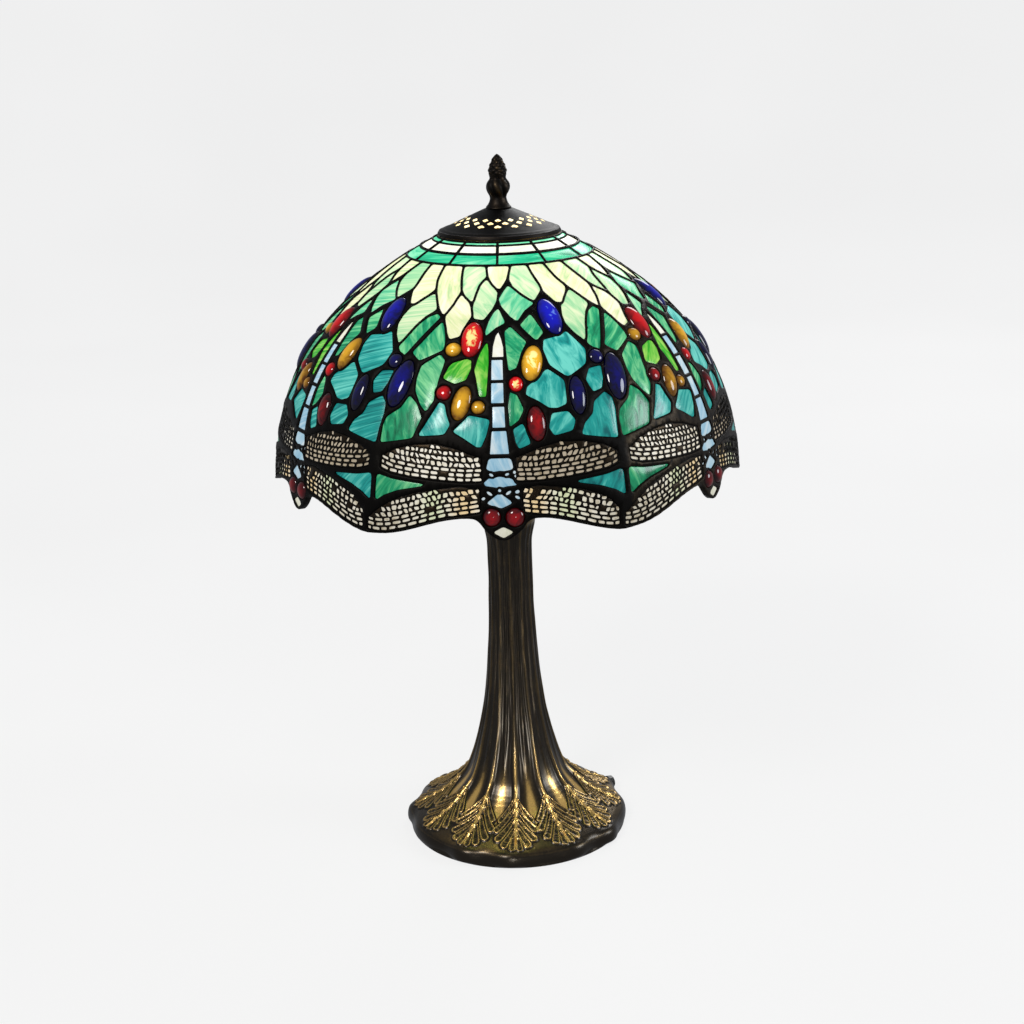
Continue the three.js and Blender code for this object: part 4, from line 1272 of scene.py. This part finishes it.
def ribs_and_bark(a, s, x, gap_x, number):
    """Height and rubbed brightness of the ribs down to the leaves, the lesser ribs between them, and
    the bark; the ribs' brightness is wear on raised places and in part a painted highlight. x is the
    distance from the nearest rib, gap_x from the nearest lesser one."""
    seed = np.mod(number * BASE_TURN + 1.3, math.tau)
    meander = 0.4 * np.sin(s / 15 + seed) + 0.12 * np.sin(s / 5 + 2 * seed)
    trunk = step_up(LEAF_TOP_S - s, -6, 10)
    foot = step_up(s, 70, 125)
    width = np.interp(s, [-80, 0, 60, 120, 163], [1.5, 1.5, 1.7, 1.9, 1.0])
    full = np.interp(s, [-80, -70, 0, 60, 115, 150, 160], [0.2, 0.7, 0.9, 1.2, 1.5, 0.8, 0.0])
    rib = np.exp(-((x - meander * trunk) / width) ** 2)
    minor = np.exp(-((gap_x - 0.8 * meander) / (width * 0.8)) ** 2) * (1 - foot)
    fine = 0.5 + 0.5 * np.cos(a * LEAVES * 4 + 0.9 * np.sin(s / 11.0 + seed))
    bark = trunk * (0.3 * fine ** 2 + 0.05 * np.sin(s * 0.2 + 5 * np.sin(a * 7 + s * 0.02)))
    height = 1.15 * rib * full + 0.85 * minor + bark * (1 - foot) - 0.95 * trunk
    # ribs rubbed bright: wear, and in part a painted highlight on their crests
    rub_and_highlight = (0.2 + 0.32 * foot) * rib ** 2 * step_up(162 - s, 0, 6) + 0.06 * minor ** 2
    return height, rub_and_highlight


def with_leaves(height, rub_and_highlight, down, x, number, away, along):
    """The height and rubbed brightness with the leaves laid over them, and how surely points are on
    one.
    """
    on_leaf = step_up(1.14 - away, 0, 0.14)
    crest = np.exp(-((away - 0.68) / 0.2) ** 2)
    crease = np.exp(-((away - 1.04) / 0.13) ** 2)
    vein = np.exp(-(x / 1.5) ** 2) * step_up(down, -8, 3) * step_up(36 - down, 0, 8)
    pitted = 0.5 + 0.5 * np.sin(along * 2.1 + 2.2 * np.sin(along * 0.9 + number + x * 0.6))
    height = height + on_leaf * (0.35 + 0.75 * crest + 0.25 * pitted * (away < 0.6)) + 0.7 * vein
    # the fingers' crests rubbed bright: wear, and in part a painted highlight
    rub_and_highlight = rub_and_highlight + on_leaf * (0.54 * crest + 0.3 * pitted * (away < 0.5)) - 0.3 * crease
    return height, np.where(vein > 0.25, np.maximum(rub_and_highlight, 0.6 * vein), rub_and_highlight), on_leaf


def base_relief(a, s, r):
    """Height in mm of the casting's relief, and how rubbed it is with painted highlights in it, at
    an angle and a distance s down the outside from z 150, where the radius is r."""
    number = np.round(a / LEAF_PITCH)
    u = a - number * LEAF_PITCH
    x, gap_x = u * r, (LEAF_PITCH / 2 - abs(u)) * r
    height, rub_and_highlight = ribs_and_bark(a, s, x, gap_x, number)
    room = np.clip(r / 60, 0.6, 1.1)
    down = s - LEAF_TOP_S
    away, along = nearest_finger(abs(x) / room, down)
    height, rub_and_highlight, on_leaf = with_leaves(height, rub_and_highlight, down, x, number, away, along)

    # sunk hollows between the leaves, lit gold up their middles by a painted highlight
    hollow_and_highlight = np.exp(-(gap_x / (0.085 * r)) ** 2) * step_up(s, 88, 130) * step_up(143 - s, 0, 8)
    hollow_and_highlight = hollow_and_highlight * (1 - step_up(1.3 - away, 0, 0.2))
    height = height - 0.5 * hollow_and_highlight
    rub_and_highlight = rub_and_highlight + 0.74 * hollow_and_highlight

    # a lighter strip below them, and the wavy rim
    strip = (1 - on_leaf) * step_up(s, 146, 152) * step_up(163 - s, 0, 2)
    rub_and_highlight = rub_and_highlight + 0.2 * strip * (1 + 0.7 * np.sin(3 * a + 2.4))
    wave = np.cos(LEAVES * a) + 0.5 * np.cos(5 * a + 1) + 0.4 * np.cos(17 * a + 2)
    on_rim = step_up(s, 158, 165)
    height = height + 1.3 * wave * on_rim * step_up(175.5 - s, 0, 4)
    rub_and_highlight = rub_and_highlight + 0.2 * np.exp(-((s - 163.4) / 1.1) ** 2) - 0.1 * on_rim

    # plain at the collar on top
    collar = step_up(-s, 68, 72)
    return height * (1 - collar), rub_and_highlight * (1 - collar) + 0.3 * collar


def build_base():
    outside = fine_profile(BASE_OUTSIDE, 0.55)
    coarse = (np.arange(len(outside)) % 3 == 0) | (outside[:, 1] < 40) | (outside[:, 1] > 222)
    outside = outside[coarse]
    bare = fine_profile(BASE_INSIDE, 5.0)
    length = np.concatenate([[0], np.cumsum(np.hypot(*np.diff(outside, axis=0).T))])
    s = length - np.interp(-150, -outside[:, 1], length)
    slope = np.gradient(outside, axis=0)
    normal = np.column_stack([-slope[:, 1], slope[:, 0]])
    normal /= np.hypot(normal[:, 0], normal[:, 1])[:, None]
    angles = np.arange(BASE_SIDES) * math.tau / BASE_SIDES
    a, row = np.meshgrid(angles, np.arange(len(outside)))
    height, rub_and_highlight = base_relief(a, s[row], outside[row, 0])
    height = height * np.clip((s[-1] - s[row]) / 2, 0, 1) * np.clip((s[row] - s[0]) / 2, 0, 1)
    a_in, row_in = np.meshgrid(angles, np.arange(len(bare)))
    r = np.concatenate([outside[row, 0] + normal[row, 0] * height, bare[row_in, 0]])
    z = np.concatenate([outside[row, 1] + normal[row, 1] * height, bare[row_in, 1]])
    z = np.maximum(z, BASE_INSIDE[0][1])
    a = np.concatenate([a, a_in])
    rub_and_highlight = np.concatenate([rub_and_highlight, np.full(a_in.shape, 0.1)])
    points = np.column_stack([(r * np.sin(a)).ravel(), (-r * np.cos(a)).ravel(), z.ravel()]) * MM
    faces = [f[:1] + f[:0:-1] for f in ring_faces(len(r), BASE_SIDES, True)]  # facing outwards
    make_piece("leaf_base", points, faces, [M["bronze"]], "stand", ["base_casting"],
               values={"rub_and_highlight": rub_and_highlight.ravel()}, sharp=70)


# ---------------------------------------------------------------------------------------------
# Fittings

def tube(name, path, radius, material, body, stands_for, sides=20):
    """A round wire along points in mm."""
    path = np.array(path, float)
    tangent = np.gradient(path, axis=0)
    tangent /= np.linalg.norm(tangent, axis=1)[:, None]
    side = np.tile([0.0, 1.0, 0.0], (len(path), 1))
    other = np.cross(tangent, side)
    a = np.arange(sides) * math.tau / sides
    rings = path[:, None] + radius * (side[:, None] * np.cos(a)[None, :, None]
                                      + other[:, None] * np.sin(a)[None, :, None])
    points = rings.reshape(-1, 3) * MM
    faces = ring_faces(len(path), sides) + end_faces(len(path), sides)
    make_piece(name, points, faces, [M[material]], body, stands_for)


def build_fittings():
    turned("vase_collar", [(16, 229.3), (16, 231.2), (15.2, 232), (5.2, 232), (5.2, 229.3)],
           M["brass"], "stand", ["neck_cap"], 72, closed=True)
    turned("hollow_pipe", [(4.9, 3), (4.9, 241), (3.2, 241), (3.2, 3)], M["steel"], "stand",
           ["lamp_pipe"], 40, closed=True)
    turned("riser_nipple", [(5.5, 412.7), (5.5, 426.2), (3.4, 426.2), (3.4, 412.7)],
           M["brass"], "shade", ["cap_riser"], 40, closed=True)
    turned("aperture_band", [(37.5, 409.4), (37.5, 413), (34.5, 413), (34.5, 409.4)],
           M["brass"], "shade", ["aperture_ring"], 120, closed=True)
    knurl = lambda a, row: 0.18 * np.cos(48 * a) * (row > 4) * (row < 9)
    turned("socket_cap_shell",
           [(5.3, 234.4), (8, 234.4), (9.2, 237.6), (10.6, 240.4), (14, 242.2), (17.2, 243.6),
            (17.8, 244.4), (17.8, 245.2), (17.8, 250.4), (17.4, 251), (16.9, 251), (16.9, 245),
            (13.6, 243.2), (9.9, 241.2), (8.4, 238.4), (7.3, 235.4), (5.3, 235.4)],
           M["brass"], "stand", ["socket_cap"], 144, knurl, closed=True)
    bulb_outline = [(12.6, 286.4), (12.9, 290), (14, 297), (16, 303), (19.4, 311)]
    bulb_outline += [(30 * math.cos(t), 340 + 30 * math.sin(t))
                     for t in np.linspace(-0.82, math.pi / 2 - 0.02, 30)]
    inside = [(max(r - 0.9, 0.1), z - (0.9 if z > 340 else 0)) for r, z in bulb_outline[::-1]]
    turned("frosted_bulb", bulb_outline + inside, M["bulb"], "bulb", ["bulb_glass"], 64,
           closed=True, sharp=60)
    thread = lambda a, row: 0.45 * np.cos(row * 1.05 + a) * (row > 3) * (row < 40)
    base = [(0.4, 261.6), (4, 262), (6, 263.4), (11, 265)]
    base += [(12.4, z) for z in np.arange(265.6, 284.4, 0.5)] + [(13, 285.2), (13, 286), (0.4, 286)]
    turned("screw_base", base, M["tin"], "bulb", ["bulb_base"], 64, thread)
    path = [(24, 246.7), (24, 258), (24, 270), (36, 286), (51, 308), (57, 334), (54, 362),
            (42, 387), (22, 402), (0, 406)]
    half = fine_profile(path, 2.0)
    half[-1] = (0, 406)
    wire = np.concatenate([half, half[-2::-1] * [-1, 1]])
    wire = np.column_stack([wire[:, 0], np.zeros(len(wire)), wire[:, 1]])
    tube("harp_wire", wire, 1.6, "brass", "stand", ["harp"])
    turned("harp_boss", [(8, 403.5), (8, 408), (3.2, 408), (3.2, 403.5)], M["brass"], "stand",
           ["harp"], 48, closed=True)
    for side, x in (("left", -24), ("right", 24)):
        sleeve = [(4.2, 238), (4.4, 238.4), (4.4, 240.4), (3.95, 241.2), (3.95, 249.8),
                  (4.4, 250.6), (4.4, 252.6), (4.2, 253), (3.3, 253), (3.3, 238)]
        turned(f"sleeve_{side}", sleeve, M["brass"], f"ferrule_{side}", [f"harp_ferrule_{side}"], 40,
               closed=True, axis=Matrix.Translation((x * MM, 0, 0)))
    forward = Matrix.Translation((0, 0, 256 * MM)) @ Matrix.Rotation(math.pi / 2, 4, "X")
    flutes = lambda a, row: 0.35 * np.cos(16 * a) * (row > 2) * (row < 8)
    knob = [(2.05, 24), (4.6, 24), (5.2, 24.6), (5.1, 25.4), (4.7, 26.6), (4.6, 30),
            (4.6, 33.4), (4.9, 35.6), (4.6, 36.8), (3.6, 37.4), (0.3, 37.5), (0.3, 30.2),
            (2.05, 30.2)]
    turned("fluted_knob", knob, M["phenolic"], "switch", ["switch_knob"], 96, flutes,
           closed=True, axis=forward)


EASED_EDGE = 0.25
CARRIED = {
    "felt_pad": "felt", "bottom_plate": "steel", "cord_bushing": "phenolic", "pipe_nut": "steel",
    "harp_saddle": "brass", "harp_stud": "brass", "socket_shell": "brass",
    "socket_liner": "fibre", "socket_block": "porcelain", "screw_shell": "tin",
    "spider": "brass", "switch_spindle": "brass",
}


def dress_carried():
    """The CAD nodes that are shown as they are, finished with a material and eased edges."""
    for name, kind in CARRIED.items():
        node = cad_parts[name]
        for slot in node.material_slots:
            slot.material = M[kind]
        ease = node.modifiers.new("eased_edges", "BEVEL")
        ease.width = EASED_EDGE * MM
        ease.segments = 2
        ease.limit_method = "ANGLE"
        ease.angle_limit = math.radians(50)


# ---------------------------------------------------------------------------------------------
# Floor, light and camera

FLOOR_Z = -0.0002  # just under the felt
FLOOR_RADIUS, BOWL_BEND, WALL_TOP, FLOOR_SIDES = 1.9, 1.0, 6.0, 96
PAPER_BODY, PAPER_GLOW = 90, 233


def stage_set():
    """A round pale floor that curves up into a wall."""
    look = Look("pale_paper")
    noise = look.noise(look.here(), Scale=2.0, Detail=2.0)
    for socket, tone in (("Base Color", PAPER_BODY), ("Emission Color", PAPER_GLOW)):
        look.feed(socket, look.ramp(noise, [(0.3, (tone - 1,) * 3), (0.7, (tone + 1,) * 3)]))
    look.set("Emission Strength", 1.0)
    look.set("Roughness", 1.0)
    look.set("Specular IOR Level", 0.0)
    line = [(r, FLOOR_Z) for r in (0.02, 0.6, FLOOR_RADIUS)]
    line += [(FLOOR_RADIUS + BOWL_BEND * math.sin(t), BOWL_BEND - BOWL_BEND * math.cos(t))
             for t in np.linspace(0.1, math.pi / 2, 16)]
    line += [(FLOOR_RADIUS + BOWL_BEND, WALL_TOP)]
    round_it = [i * math.tau / FLOOR_SIDES for i in range(FLOOR_SIDES)]
    points = [(r * math.cos(t), r * math.sin(t), z) for r, z in line for t in round_it]
    faces = ring_faces(len(line), FLOOR_SIDES) + [tuple(range(FLOOR_SIDES))]
    mesh = bpy.data.meshes.new("paper_sweep")
    mesh.from_pydata(points, [], faces)
    mesh.materials.append(look.material)
    mesh.polygons.foreach_set("use_smooth", [True] * len(mesh.polygons))
    floor = bpy.data.objects.new("paper_sweep", mesh)
    floor.visible_glossy = False
    floor.visible_diffuse = False
    bpy.context.scene.collection.objects.link(floor)


def area_light(name, place, aim, size, power, colour):
    data = bpy.data.lights.new(name, "AREA")
    data.shape = "DISK"
    data.size = size
    data.energy = power
    place_light(data, place, aim, colour)


def place_light(data, place, aim, colour):
    data.color = colour
    light = bpy.data.objects.new(data.name, data)
    light.location = place
    light.rotation_euler = (Vector(aim) - Vector(place)).to_track_quat("-Z", "Y").to_euler()
    bpy.context.scene.collection.objects.link(light)


def light_set():
    aim = (0, 0, 0.2)
    area_light("key_light", (-1.0, -1.6, 1.7), aim, 0.7, 30, (1.0, 0.97, 0.93))
    area_light("side_light", (1.9, -0.3, 0.85), aim, 0.9, 20, (0.9, 0.95, 1.0))
    trunk = bpy.data.lights.new("trunk_light", "SPOT")
    trunk.energy = 32
    trunk.spot_size = math.radians(11)
    trunk.spot_blend = 0.7
    trunk.shadow_soft_size = 0.09
    place_light(trunk, (0.12, -1.3, 0.16), (0, 0, 0.1), (1.0, 0.98, 0.92))
    area_light("rim_light", (0.5, 1.6, 1.3), aim, 1.0, 12, (1.0, 1.0, 1.0))
    world = bpy.data.worlds.new("pale_room")
    world.use_nodes = True
    world.node_tree.nodes["Background"].inputs["Color"].default_value = (0.93, 0.95, 1.0, 1)
    world.node_tree.nodes["Background"].inputs["Strength"].default_value = 0.3
    bpy.context.scene.world = world
    bpy.context.scene.view_settings.view_transform = "Standard"


CAMERA_AWAY, CAMERA_UP = 1.10511, 0.56512
CAMERA_PITCH, CAMERA_YAW, CAMERA_ROLL = 0.2999, -0.0021, -0.0317  # radians, pitch downwards
CAMERA_ROUND = math.radians(1.93)  # how far round the lamp it stands, from the front
CAMERA_LENS, CAMERA_SHIFT = 60.67, 0.0036


def camera_set():
    data = bpy.data.cameras.new("camera")
    data.lens = CAMERA_LENS
    data.sensor_width = 36.0
    data.shift_y = CAMERA_SHIFT
    data.clip_start = 0.01
    camera = bpy.data.objects.new("camera", data)
    round_z = Matrix.Rotation(CAMERA_ROUND, 4, "Z")
    camera.matrix_world = (Matrix.Translation(round_z @ Vector((0, -CAMERA_AWAY, CAMERA_UP)))
                           @ Matrix.Rotation(CAMERA_ROUND + CAMERA_YAW, 4, "Z")
                           @ Matrix.Rotation(math.pi / 2 - CAMERA_PITCH, 4, "X")
                           @ Matrix.Rotation(CAMERA_ROLL, 4, "Z"))
    bpy.context.scene.collection.objects.link(camera)
    bpy.context.scene.camera = camera


build_shade()
build_cap()
build_finial()
build_base()
build_fittings()
dress_carried()
stage_set()
light_set()
camera_set()
